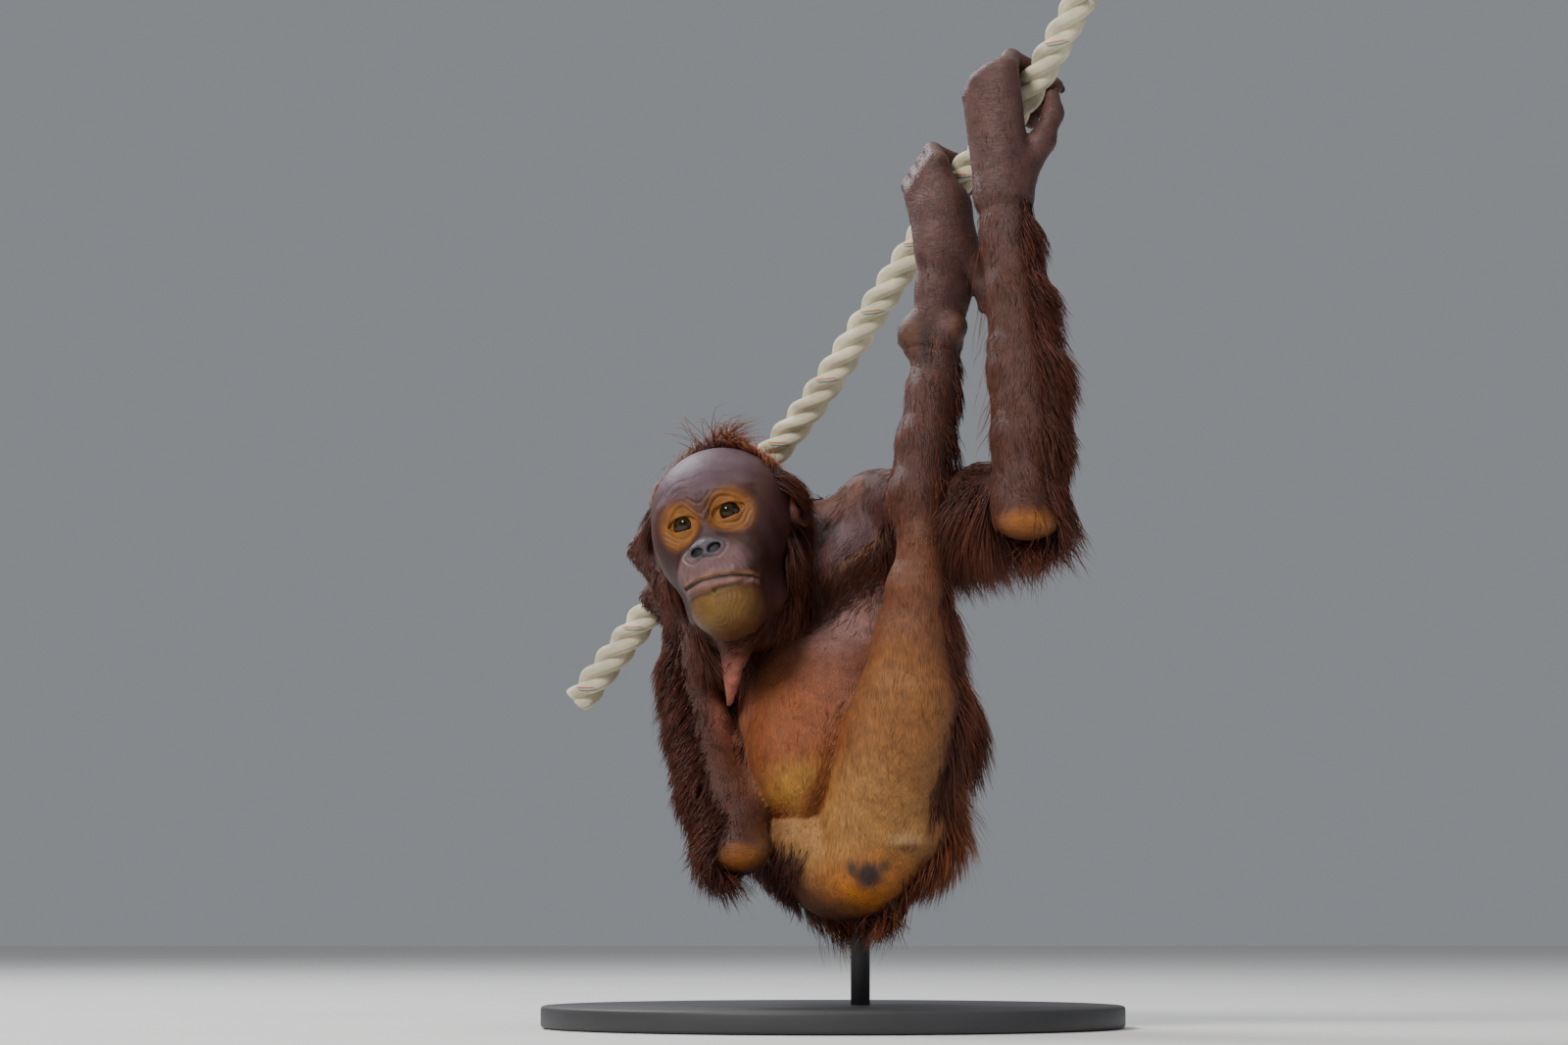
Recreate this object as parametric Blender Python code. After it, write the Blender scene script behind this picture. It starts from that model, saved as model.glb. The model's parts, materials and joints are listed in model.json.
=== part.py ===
"""Young orangutan hanging from a length of rope, as a still museum model on a stand."""
import math
import random

import bmesh
import bpy
import numpy as np
from mathutils import Vector
from mathutils.bvhtree import BVHTree

mm = 0.001

# Clearance between neighbouring parts
part_gap = 0.35 * mm

# Head size and attitude, seen from the animal
head_centre = (-0.080, 0.000, 0.366)
head_yaw = math.radians(18.0)
head_pitch = math.radians(9.0)
head_roll = math.radians(16.0)
eye_spacing = 17.4 * mm
eye_forward = 37.0 * mm
eyeball_radius = 10.2 * mm
lid_radius = 12.0 * mm
eye_opening_width = 17.5 * mm
eye_opening_height = 10.5 * mm

# Joints of the limbs
shoulder_left = (0.040, 0.052, 0.382)
elbow_left = (0.138, -0.122, 0.379)
wrist_left = (0.125, -0.054, 0.606)
shoulder_right = (-0.042, 0.100, 0.296)
elbow_right = (-0.070, -0.030, 0.136)
hip_left = (0.031, -0.040, 0.152)
knee_left = (0.065, -0.075, 0.349)
ankle_left = (0.077, -0.028, 0.505)
hip_right = (-0.012, -0.010, 0.133)
knee_right = (-0.060, 0.140, 0.194)
ankle_right = (-0.047, 0.186, 0.356)

# Body frames: left side, front and head end of chest and pelvis
chest_left_way = (0.617, -0.449, 0.647)
chest_front_way = (-0.567, -0.825, -0.031)
pelvis_left_way = (0.49, -0.46, 0.74)
pelvis_front_way = (-0.84, -0.10, 0.50)

# Rope: course, thickness and twist
rope_course = [
    (-0.194, 0.170, 0.246),
    (-0.109, 0.123, 0.351),
    (-0.066, 0.100, 0.406),
    (-0.014, 0.070, 0.468),
    (0.037, 0.041, 0.543),
    (0.087, 0.012, 0.617),
    (0.104, 0.002, 0.641),
    (0.142, -0.022, 0.685),
    (0.184, -0.052, 0.757),
]
rope_radius = 12.0 * mm
rope_groove_radius = 9.6 * mm
rope_lay_length = 62.0 * mm
rope_rings = 84

# Display stand
base_radius = 0.215
base_thickness = 16.0 * mm
base_edge = 2.5 * mm
rod_radius = 7.0 * mm
rod_place = (0.020, -0.012)

coat_colour = (0.13, 0.045, 0.022)
bare_colour = (0.16, 0.085, 0.075)
belly_colour = (0.30, 0.15, 0.075)
eye_colour = (0.03, 0.018, 0.010)
rope_colour = (0.72, 0.68, 0.55)
stand_colour = (0.10, 0.10, 0.105)


def vec(point):
    return np.array(point, dtype=float)


def unit(direction):
    direction = vec(direction)
    return direction / np.linalg.norm(direction)


def mixed(start, end, share):
    return vec(start) * (1.0 - share) + vec(end) * share


def body_frame(left_way, front_way):
    left = unit(left_way)
    front = vec(front_way) - left * np.dot(left, vec(front_way))
    front = unit(front)
    return np.array([left, front, np.cross(front, left)])


def head_frame():
    front = vec((-math.sin(head_yaw), -math.cos(head_yaw), 0.0))
    left = vec((math.cos(head_yaw), -math.sin(head_yaw), 0.0))
    top = vec((0.0, 0.0, 1.0))
    raised = math.cos(head_pitch) * front + math.sin(head_pitch) * top
    leaned = math.cos(head_pitch) * top - math.sin(head_pitch) * front
    side = math.cos(head_roll) * left + math.sin(head_roll) * leaned
    crown = math.cos(head_roll) * leaned - math.sin(head_roll) * left
    return np.array([side, raised, crown])


head_axes = head_frame()
chest_axes = body_frame(chest_left_way, chest_front_way)
pelvis_axes = body_frame(pelvis_left_way, pelvis_front_way)


def on_head(left, front, up):
    local = vec((left, front, up)) * mm
    return vec(head_centre) + local @ head_axes


# Rounded forms and how they flow together


def cone(start, end, start_radius, end_radius, blend=6.0, flat=1.0, flat_way=(0, 0, 1), carve=False):
    reach = max(start_radius, end_radius) * mm * max(flat, 1.0)
    ends = np.array([vec(start), vec(end)])
    return {
        "kind": "cone", "start": vec(start), "end": vec(end),
        "radii": (start_radius * mm, end_radius * mm), "blend": blend * mm,
        "flat": flat, "flat_way": unit(flat_way), "carve": carve,
        "low": ends.min(0) - reach, "high": ends.max(0) + reach,
    }


def ball(centre, radii, axes=None, blend=10.0, carve=False):
    radii = vec(radii) * mm
    axes = np.eye(3) if axes is None else axes
    reach = np.sqrt(((axes * radii[:, None]) ** 2).sum(0))
    return {
        "kind": "ball", "centre": vec(centre), "radii": radii, "axes": axes,
        "blend": blend * mm, "carve": carve,
        "low": vec(centre) - reach, "high": vec(centre) + reach,
    }


def head_ball(left, front, up, radii, blend=10.0, carve=False):
    return ball(on_head(left, front, up), radii, head_axes, blend, carve)


def chain(points, radii, blend=6.0, flat=1.0, flat_way=(0, 0, 1)):
    forms = []
    for number in range(len(points) - 1):
        forms.append(cone(
            points[number], points[number + 1], radii[number], radii[number + 1],
            blend, flat, flat_way,
        ))
    return forms


def distance_to(form, points):
    if form["kind"] == "ball":
        local = (points - form["centre"]) @ form["axes"].T
        near = np.linalg.norm(local / form["radii"], axis=1)
        steep = np.linalg.norm(local / form["radii"] ** 2, axis=1)
        return near * (near - 1.0) / np.maximum(steep, 1e-9)
    start = form["start"]
    along = form["end"] - start
    share = np.clip((points - start) @ along / np.dot(along, along), 0.0, 1.0)
    offset = points - start - share[:, None] * along
    radius = form["radii"][0] + (form["radii"][1] - form["radii"][0]) * share
    length = np.linalg.norm(offset, axis=1)
    if form["flat"] == 1.0:
        return length - radius
    across = offset @ form["flat_way"]
    squeezed = offset + np.outer(across * (1.0 / form["flat"] - 1.0), form["flat_way"])
    wide = np.maximum(np.linalg.norm(squeezed, axis=1), 1e-9)
    return (wide - radius) * np.maximum(length, 1e-9) / wide


def blended(forms, points):
    total = None
    for form in forms:
        near = distance_to(form, points)
        if total is None:
            total = near
            continue
        size = form["blend"]
        if form["carve"]:
            overlap = np.maximum(size - np.abs(total + near), 0.0) / size
            total = np.maximum(total, -near) + overlap ** 2 * size * 0.25
        else:
            overlap = np.maximum(size - np.abs(total - near), 0.0) / size
            total = np.minimum(total, near) - overlap ** 2 * size * 0.25
    return total


def fill_pinches(values, depth):
    # Where two walls touch only along a grid edge or corner, the space between is filled
    corners = [(x, y, z) for x in (0, 1) for y in (0, 1) for z in (0, 1)]
    whole = [slice(0, count - 1) for count in values.shape]

    def corner_of(array, corner):
        return array[tuple(slice(corner[k], whole[k].stop + corner[k]) for k in range(3))]

    for attempt in range(8):
        inside = values < 0.0
        changed = False
        for axis in range(3):
            first, second = [k for k in range(3) if k != axis]
            ring = []
            for move_first, move_second in ((0, 0), (1, 0), (1, 1), (0, 1)):
                part = [slice(None)] * 3
                part[first] = slice(move_first, values.shape[first] - 1 + move_first)
                part[second] = slice(move_second, values.shape[second] - 1 + move_second)
                ring.append(tuple(part))
            marks = [inside[part] for part in ring]
            clash = (marks[0] == marks[2]) & (marks[1] == marks[3]) & (marks[0] != marks[1])
            if clash.any():
                changed = True
                for part, mark in zip(ring, marks):
                    values[part][clash & ~mark] = -depth
        inside = values < 0.0
        number = sum(corner_of(inside, corner).astype(int) for corner in corners)
        for corner in corners[:4]:
            opposite = tuple(1 - k for k in corner)
            one, two = corner_of(inside, corner), corner_of(inside, opposite)
            clash = ((number == 2) & one & two) | ((number == 6) & ~one & ~two)
            if clash.any():
                changed = True
                for place in corners:
                    view = corner_of(values, place)
                    view[clash & (view >= 0.0)] = -depth
        if not changed:
            return


def net_surface(forms, step):
    low = np.min([form["low"] for form in forms if not form["carve"]], axis=0) - 3.0 * step
    high = np.max([form["high"] for form in forms if not form["carve"]], axis=0) + 3.0 * step
    counts = np.ceil((high - low) / step).astype(int) + 1
    lines = [low[axis] + step * np.arange(counts[axis]) for axis in range(3)]
    grid = np.stack(np.meshgrid(*lines, indexing="ij"), -1)
    values = blended(forms, grid.reshape(-1, 3)).reshape(counts)
    fill_pinches(values, 0.1 * step)
    inside = values < 0.0
    cells = counts - 1
    total = np.zeros((*cells, 3))
    number = np.zeros(cells)
    corners = [(x, y, z) for x in (0, 1) for y in (0, 1) for z in (0, 1)]
    for first in corners:
        for second in corners:
            if sum(second) != sum(first) + 1 or min(np.subtract(second, first)) < 0:
                continue
            one = tuple(slice(first[axis], first[axis] + cells[axis]) for axis in range(3))
            two = tuple(slice(second[axis], second[axis] + cells[axis]) for axis in range(3))
            crossed = inside[one] != inside[two]
            start = values[one][crossed]
            share = start / (start - values[two][crossed])
            move = np.subtract(second, first)
            total[crossed] += np.array(first) + share[:, None] * move
            number[crossed] += 1
    live = number > 0
    index = np.full(cells, -1)
    index[live] = np.arange(live.sum())
    place = np.argwhere(live) + total[live] / number[live][:, None]
    points = low + step * place
    faces = []
    for axis in range(3):
        second, third = (axis + 1) % 3, (axis + 2) % 3
        lower = [slice(1, counts[k] - 1) for k in range(3)]
        lower[axis] = slice(0, counts[axis] - 1)
        upper = list(lower)
        upper[axis] = slice(1, counts[axis])
        first_in = inside[tuple(lower)]
        last_in = inside[tuple(upper)]
        for leaving in (True, False):
            marks = np.argwhere(first_in & ~last_in) if leaving else np.argwhere(last_in & ~first_in)
            base = marks.copy()
            for k in (second, third):
                base[:, k] += 1
            ring = []
            for back_second, back_third in ((1, 1), (0, 1), (0, 0), (1, 0)):
                cell = base.copy()
                cell[:, second] -= back_second
                cell[:, third] -= back_third
                ring.append(index[cell[:, 0], cell[:, 1], cell[:, 2]])
            quad = np.stack(ring, -1)
            faces.append(quad if leaving else quad[:, ::-1])
    return points, np.concatenate(faces)


# Mesh objects


def clear_scene():
    for thing in list(bpy.data.objects):
        bpy.data.objects.remove(thing, do_unlink=True)


def make_material(name, colour, roughness=0.7):
    material = bpy.data.materials.new(name)
    material.use_nodes = True
    shader = material.node_tree.nodes["Principled BSDF"]
    shader.inputs["Base Color"].default_value = (*colour, 1.0)
    shader.inputs["Roughness"].default_value = roughness
    material.diffuse_color = (*colour, 1.0)
    return material


def add_object(name, points, faces):
    mesh = bpy.data.meshes.new(name)
    mesh.from_pydata([tuple(point) for point in points], [], [tuple(face) for face in faces])
    mesh.validate()
    mesh.update()
    thing = bpy.data.objects.new(name, mesh)
    bpy.context.scene.collection.objects.link(thing)
    return thing


def apply_modifiers(thing):
    graph = bpy.context.evaluated_depsgraph_get()
    graph.update()
    fresh = bpy.data.meshes.new_from_object(thing.evaluated_get(graph))
    old = thing.data
    thing.modifiers.clear()
    thing.data = fresh
    fresh.name = thing.name
    bpy.data.meshes.remove(old)


def triangle_count(thing):
    return sum(len(face.vertices) - 2 for face in thing.data.polygons)


def thin_out(thing, target):
    count = triangle_count(thing)
    if count <= target:
        return
    modifier = thing.modifiers.new("fewer", "DECIMATE")
    modifier.ratio = target / count
    modifier.use_collapse_triangulate = True
    apply_modifiers(thing)


def largest_shell(thing):
    work = bmesh.new()
    work.from_mesh(thing.data)
    bmesh.ops.dissolve_degenerate(work, edges=work.edges, dist=1e-7)
    bmesh.ops.triangulate(work, faces=work.faces)
    seen = set()
    shells = []
    for face in work.faces:
        if face in seen:
            continue
        shell = []
        todo = [face]
        seen.add(face)
        while todo:
            current = todo.pop()
            shell.append(current)
            for edge in current.edges:
                for other in edge.link_faces:
                    if other not in seen:
                        seen.add(other)
                        todo.append(other)
        volume = sum(
            f.verts[0].co.dot(f.verts[1].co.cross(f.verts[2].co)) / 6.0 for f in shell
        )
        shells.append((volume, shell))
    best = max(shells, key=lambda item: item[0])[1]
    keep = set(best)
    loose = [face for face in work.faces if face not in keep]
    bmesh.ops.delete(work, geom=loose, context="FACES")
    lone = [vert for vert in work.verts if not vert.link_faces]
    bmesh.ops.delete(work, geom=lone, context="VERTS")
    work.to_mesh(thing.data)
    work.free()
    thing.data.update()


def is_closed(thing):
    work = bmesh.new()
    work.from_mesh(thing.data)
    closed = all(len(edge.link_faces) == 2 for edge in work.edges)
    closed = closed and all(vert.is_manifold for vert in work.verts)
    work.free()
    return closed


def grow_part(name, forms, step, target):
    for attempt in range(8):
        points, faces = net_surface(forms, step * mm * (1.0 - 0.013 * attempt))
        thing = add_object(name, points, faces)
        thin_out(thing, target)
        largest_shell(thing)
        if is_closed(thing):
            return thing
        bpy.data.objects.remove(thing, do_unlink=True)
    raise RuntimeError(name + " has no closed surface")


def swollen_copy(thing, amount):
    mesh = thing.data.copy()
    copy = bpy.data.objects.new(thing.name + "_swollen", mesh)
    bpy.context.scene.collection.objects.link(copy)
    shifts = [vert.normal.copy() * amount for vert in mesh.vertices]
    for vert, shift in zip(mesh.vertices, shifts):
        vert.co += shift
    return copy


def tree_of(thing):
    points = [vert.co.copy() for vert in thing.data.vertices]
    faces = [tuple(face.vertices) for face in thing.data.polygons]
    return BVHTree.FromPolygons(points, faces)


def combine(thing, pieces, operation):
    group = bpy.data.collections.new("pieces")
    for piece in pieces:
        group.objects.link(piece)
    whole = thing.data.copy()
    for solver in ("EXACT", "MANIFOLD"):
        thing.data = whole.copy()
        modifier = thing.modifiers.new("combine", "BOOLEAN")
        modifier.operation = operation
        modifier.solver = solver
        modifier.operand_type = "COLLECTION"
        modifier.collection = group
        apply_modifiers(thing)
        largest_shell(thing)
        if is_closed(thing):
            break
        print("open edges with", solver, "on", thing.name)
    for piece in pieces:
        bpy.data.objects.remove(piece, do_unlink=True)
    bpy.data.collections.remove(group)
    bpy.data.meshes.remove(whole)


def cut_clear_of(thing, others):
    own = tree_of(thing)
    cutters = []
    for other in others:
        if own.overlap(tree_of(other)):
            cutters.append(swollen_copy(other, part_gap))
    if cutters:
        combine(thing, cutters, "DIFFERENCE")


# Rope


def rope_curve(share):
    spans = len(rope_course) - 1
    place = min(max(share, 0.0), 1.0) * spans
    number = min(int(place), spans - 1)
    local = place - number
    knots = [vec(rope_course[min(max(number + k, 0), spans)]) for k in (-1, 0, 1, 2)]
    first = (knots[2] - knots[0]) * 0.5
    last = (knots[3] - knots[1]) * 0.5
    square, cube = local ** 2, local ** 3
    return (
        knots[1] * (2 * cube - 3 * square + 1) + first * (cube - 2 * square + local)
        + knots[2] * (3 * square - 2 * cube) + last * (cube - square)
    )


def rope_samples(count):
    fine = np.array([rope_curve(k / 400.0) for k in range(401)])
    steps = np.linalg.norm(np.diff(fine, axis=0), axis=1)
    length = np.concatenate([[0.0], np.cumsum(steps)])
    wanted = np.linspace(0.0, length[-1], count)
    return np.stack([np.interp(wanted, length, fine[:, k]) for k in range(3)], -1), length[-1]


def build_rope():
    line, length = rope_samples(rope_rings)
    points = []
    sides = 6
    side_way = unit((-0.8, 0.0, 0.6))
    for number in range(rope_rings):
        before = line[max(number - 1, 0)]
        after = line[min(number + 1, rope_rings - 1)]
        along = unit(after - before)
        side_way = unit(side_way - along * np.dot(side_way, along))
        up_way = np.cross(along, side_way)
        turn = 2.0 * math.pi * (length * number / (rope_rings - 1)) / rope_lay_length
        for side in range(sides):
            angle = 2.0 * math.pi * side / sides + turn
            radius = rope_radius if side % 2 == 0 else rope_groove_radius
            points.append(line[number] + radius * (math.cos(angle) * side_way + math.sin(angle) * up_way))
    faces = [tuple(range(sides))[::-1], tuple(range(len(points) - sides, len(points)))]
    for number in range(rope_rings - 1):
        for side in range(sides):
            nxt = (side + 1) % sides
            base = number * sides
            faces.append((base + side, base + nxt, base + sides + nxt, base + sides + side))
    rope = add_object("perch_rope", points, faces)
    largest_shell(rope)
    return rope


# Hands and feet close round the rope


def nearest_on_rope(point):
    line, length = rope_samples(300)
    number = int(np.argmin(np.linalg.norm(line - vec(point), axis=1)))
    along = unit(line[min(number + 3, 299)] - line[max(number - 3, 0)])
    return line[number], along


def grip_frame(point, out_hint):
    centre, along = nearest_on_rope(point)
    out = unit(vec(out_hint) - along * np.dot(vec(out_hint), along))
    return centre, along, out, np.cross(out, along)


def grip_point(frame, slide, out, away):
    centre, along, out_way, away_way = frame
    return centre + (along * slide + out_way * out + away_way * away) * mm


def digit(frame, slide, path, radii, spread=0.0):
    points = []
    for number, (out, away) in enumerate(path):
        points.append(grip_point(frame, slide * (1.0 - spread * number), out, away))
    return chain(points, radii, 2.5)


# Flesh forms of each part; every entry is a list of forms that flow together


def head_forms():
    forms = [
        head_ball(0, -8, 10, (53.5, 57, 53)),
        head_ball(0, 8, 12, (44, 43, 41), 14),
        head_ball(0, 14, -20, (47, 33, 34), 16),
        head_ball(3, 44, -41, (33.5, 29, 25), 13),
        head_ball(2, 43, -69, (27.5, 23.5, 23), 10),
        head_ball(0, 8, -52, (38, 30, 24), 16),
        head_ball(1, 40, -16, (12, 12, 19), 10),
        head_ball(1.5, 58, -29, (13, 13, 8), 5),
    ]
    for side in (-1, 1):
        forms.append(head_ball(side * 20, 39, 14.5, (15.5, 6.5, 4.8), 9))
        forms.append(head_ball(side * 37, 25, -3, (8, 12, 15), 12))
        forms.append(head_ball(side * 20.5, 55, -3, (15, 11, 13), 9, True))
        forms.append(head_ball(side * eye_spacing / mm, eye_forward / mm, 0, [lid_radius / mm] * 3, 4))
        forms.append(head_ball(side * 8 + 1.5, 61, -31.5, (6.5, 8.8, 6), 3))
        bend = on_head(4 + side * 14, 68, -53.9 - side * 1.5)
        corner = on_head(4 + side * 25.8, 57, -54.9 - side * 2.7)
        forms.append(cone(on_head(4, 71, -53.9), bend, 2.5, 2.5, 1, carve=True))
        forms.append(cone(bend, corner, 2.5, 2.2, 1, carve=True))
    return forms


def neck_forms():
    return [
        cone(on_head(0, -22, -28), (-0.012, 0.078, 0.350), 40, 43),
        cone(on_head(0, 12, -62), (-0.035, 0.030, 0.320), 24, 30, 16),
        cone(on_head(2, 28, -82), (-0.076, 0.012, 0.254), 15, 5, 12),
        cone(on_head(-18, 2, -66), (-0.072, 0.048, 0.262), 20, 17, 12),
    ]


def torso_forms():
    chest, pelvis = chest_axes, pelvis_axes
    return [
        ball((0.010, 0.058, 0.318), (66, 50, 70), chest),
        ball((0.002, 0.016, 0.226), (66, 60, 78), chest, 24),
        ball((-0.004, 0.004, 0.205), (56, 58, 56), pelvis, 20),
        ball((0.043, 0.056, 0.255), (48, 44, 76), chest, 26),
        cone((0.000, 0.062, 0.345), (0.034, 0.050, 0.377), 38, 34, 20),
        cone((0.000, 0.075, 0.320), (-0.036, 0.096, 0.300), 38, 33, 20),
        cone((0.010, 0.016, 0.338), (0.046, 0.026, 0.366), 24, 20, 14),
        ball((0.034, 0.034, 0.300), (40, 40, 56), chest, 22),
        ball((-0.020, -0.016, 0.186), (36, 40, 40), None, 20),
    ]


def rump_forms():
    return [
        ball((0.034, 0.010, 0.160), (58, 52, 56), pelvis_axes),
        ball((0.047, -0.030, 0.148), (43, 42, 46), pelvis_axes, 18),
        ball((0.006, -0.012, 0.120), (40, 42, 44), pelvis_axes, 18),
        ball((0.024, -0.042, 0.116), (33, 33, 34), None, 14),
        ball((0.054, -0.054, 0.136), (17, 13, 12), None, 10),
    ]


def upper_arm_forms(side):
    if side == "left":
        return chain(
            [shoulder_left, (0.062, 0.014, 0.382), (0.100, -0.056, 0.380), elbow_left],
            [33, 29, 25, 22], 10,
        )
    return chain(
        [shoulder_right, (-0.046, 0.062, 0.250), (-0.054, 0.012, 0.193), elbow_right],
        [32, 27, 23, 20], 10,
    )


def forearm_forms(side):
    if side == "left":
        forms = chain(
            [elbow_left, (0.139, -0.112, 0.424), (0.136, -0.096, 0.474), (0.131, -0.077, 0.534),
             (0.127, -0.062, 0.579), wrist_left],
            [24, 25, 24, 22.5, 21, 20], 8, 0.9, (0.2, -1.0, 0.1),
        )
        forms.append(ball((0.139, -0.131, 0.364), (22, 13, 11), None, 14))
        return forms
    forms = chain(
        [elbow_right, (-0.086, -0.004, 0.178), (-0.097, 0.026, 0.223), (-0.107, 0.056, 0.268), wrist_right()],
        [21, 21.5, 20, 18.5, 17.5], 8,
    )
    forms.append(ball((-0.068, -0.044, 0.129), (20, 13, 13), None, 14))
    return forms


def hand_left_forms():
    frame = grip_frame((0.135, -0.020, 0.695), (-0.8, 0.0, 0.6))
    forms = []
    row = ((-18.0, 30.0, 0.88), (-6.5, 32.0, 1.0), (5.0, 28.0, 1.0), (14.5, 22.0, 0.95))
    for number, (slide, out, long) in enumerate(row):
        knuckle = (out, -25.0)
        root = vec(wrist_left) + vec((0.007 * (number - 1.5), 0.0, 0.004))
        forms.append(cone(root, grip_point(frame, slide, *knuckle), 10.5, 8.4, 9))
        path = [knuckle, (25.0, 9.0 * long), (5.0, 22.5 * long), (-14.5 * long, 16.0)]
        forms += digit(frame, slide, path, [8.2, 7.2, 6.5, 5.6])
    forms.append(cone(wrist_left, grip_point(frame, 2, 20, -24), 17, 11, 8))
    thumb = [(0.137, -0.052, 0.622), (0.154, -0.048, 0.650), (0.162, -0.043, 0.671), (0.162, -0.038, 0.684)]
    forms += chain(thumb, [11.5, 8.5, 6.8, 5.4], 7)
    return forms


hand_right_way = unit((-0.418, 0.656, 0.628))
hand_right_back = unit((-0.686, -0.681, 0.255))
grip_right_hand = (-0.109, 0.123, 0.351)


def wrist_right():
    return vec(grip_right_hand) + 0.025 * hand_right_back - 0.046 * hand_right_way


def hand_right_forms():
    frame = grip_frame(grip_right_hand, hand_right_back)
    forms = []
    toward = np.dot(hand_right_way, frame[3])
    turn = 1.0 if toward > 0 else -1.0
    for number in range(4):
        slide = (number - 1.5) * 10.5
        knuckle = (24.0, 22.0 * turn)
        root = wrist_right() + frame[1] * (0.0075 * (number - 1.5))
        forms.append(cone(root, grip_point(frame, slide, *knuckle), 10.5, 8.6, 9))
        path = [knuckle, (-2.0, 30.0 * turn), (-22.0, 14.0 * turn), (-19.5, -8.0 * turn)]
        forms += digit(frame, slide, path, [8.4, 7.3, 6.6, 5.4])
    root = wrist_right() - frame[1] * 0.010
    thumb = [root, grip_point(frame, -30, 20, -16 * turn), grip_point(frame, -36, 4, -21 * turn),
             grip_point(frame, -34, -12, -19 * turn)]
    forms += chain(thumb, [11, 8.5, 6.8, 5.2], 7)
    return forms


def foot_left_forms():
    frame = grip_frame((0.083, 0.010, 0.630), (-0.8, 0.0, 0.6))
    sole = (0.25, -1.0, 0.1)
    forms = chain(
        [ankle_left, (0.081, -0.023, 0.540), (0.085, -0.020, 0.576), (0.084, -0.018, 0.604)],
        [18.5, 19.5, 20.5, 20], 8, 0.68, sole,
    )
    for number in range(4):
        slide = (number - 1.5) * 10.0 - 4.0
        knuckle = (19.0, -22.0)
        root = mixed(ankle_left, (0.085, -0.020, 0.576), 0.9) + vec((0.008 * (number - 1.5), 0.0, 0.0))
        forms.append(cone(root, grip_point(frame, slide, *knuckle), 10, 8.3, 9))
        path = [knuckle, (28.0, 3.0), (11.0, 22.5), (-9.0, 19.5)]
        forms += digit(frame, slide, path, [8.2, 7.2, 6.4, 5.2])
    forms.append(ball((0.060, -0.030, 0.508), (12.5, 14, 15), None, 12))
    forms.append(ball((0.090, -0.038, 0.514), (9, 9, 10), None, 8))
    hallux = [(0.093, -0.020, 0.575), (0.106, -0.020, 0.560), (0.113, -0.020, 0.545), (0.112, -0.018, 0.530)]
    forms += chain(hallux, [10, 7.5, 6.2, 4.8], 8)
    return forms


def foot_right_forms():
    frame = grip_frame((-0.066, 0.100, 0.406), (0.19, 0.947, 0.253))
    up_left = vec((-0.8, 0.0, 0.6))
    turn = 1.0 if np.dot(up_left, frame[3]) > 0 else -1.0
    ball_place = grip_point(frame, 0, 25, 6 * turn)
    sole = [ankle_right, mixed(ankle_right, ball_place, 0.5), ball_place]
    forms = chain(sole, [18, 18, 18], 8, 0.75, frame[2])
    for number in range(4):
        slide = (number - 1.5) * 10.0
        knuckle = (20.0, 22.0 * turn)
        root = mixed(ankle_right, ball_place, 0.7)
        forms.append(cone(root, grip_point(frame, slide, *knuckle), 10, 8.3, 9))
        path = [knuckle, (-2.0, 29.0 * turn), (-20.0, 12.0 * turn), (-19.0, -7.0 * turn)]
        forms += digit(frame, slide, path, [8.2, 7.2, 6.4, 5.2])
    heel = vec(ankle_right) - 0.010 * unit(ball_place - vec(ankle_right))
    forms.append(ball(heel + frame[2] * 0.008, (14, 14, 14), None, 10))
    hallux = [mixed(ankle_right, ball_place, 0.55), grip_point(frame, -26, 22, -14 * turn),
              grip_point(frame, -30, 6, -21 * turn), grip_point(frame, -29, -9, -19 * turn)]
    forms += chain(hallux, [11, 8, 6.5, 5], 8)
    return forms


def thigh_forms(side):
    if side == "left":
        forms = chain(
            [hip_left, (0.041, -0.048, 0.185), (0.050, -0.058, 0.212), (0.0565, -0.063, 0.238),
             (0.058, -0.070, 0.279), (0.0605, -0.075, 0.318), knee_left],
            [41, 41, 41, 38.5, 28.5, 21, 16.5], 10,
        )
        return forms
    return chain(
        [hip_right, (-0.028, 0.040, 0.150), (-0.044, 0.092, 0.170), knee_right],
        [40, 36, 28, 20], 10,
    )


def shank_forms(side):
    if side == "left":
        return chain(
            [knee_left, (0.062, -0.066, 0.386), (0.067, -0.055, 0.426), (0.073, -0.042, 0.464), ankle_left],
            [17, 21.5, 20, 18.5, 16.5], 8,
        )
    return chain(
        [knee_right, (-0.058, 0.160, 0.240), (-0.054, 0.172, 0.290), ankle_right],
        [20, 22, 19, 16], 8,
    )


def ear_forms(side):
    side_way = head_axes[0] * side
    across = unit(0.50 * side_way - 0.87 * head_axes[1])
    outward = unit(0.87 * side_way + 0.50 * head_axes[1])
    axes = np.array([outward, across, head_axes[2]])
    centre = on_head(side * 57.5, -11, 3)
    up = head_axes[2]
    return [
        ball(centre, (4.2, 10.5, 15.5), axes),
        ball(on_head(side * 51, -7, -1), (9, 8, 9), axes, 3),
        ball(centre + outward * 0.0042, (3.2, 7.2, 11.5), axes, 1.5, True),
        ball(centre - across * 0.004 + outward * 0.002 - up * 0.004, (2.8, 3.2, 4.5), axes, 1, True),
    ]


# Coat: a shallow undercoat, and locks that stand out of it


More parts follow.
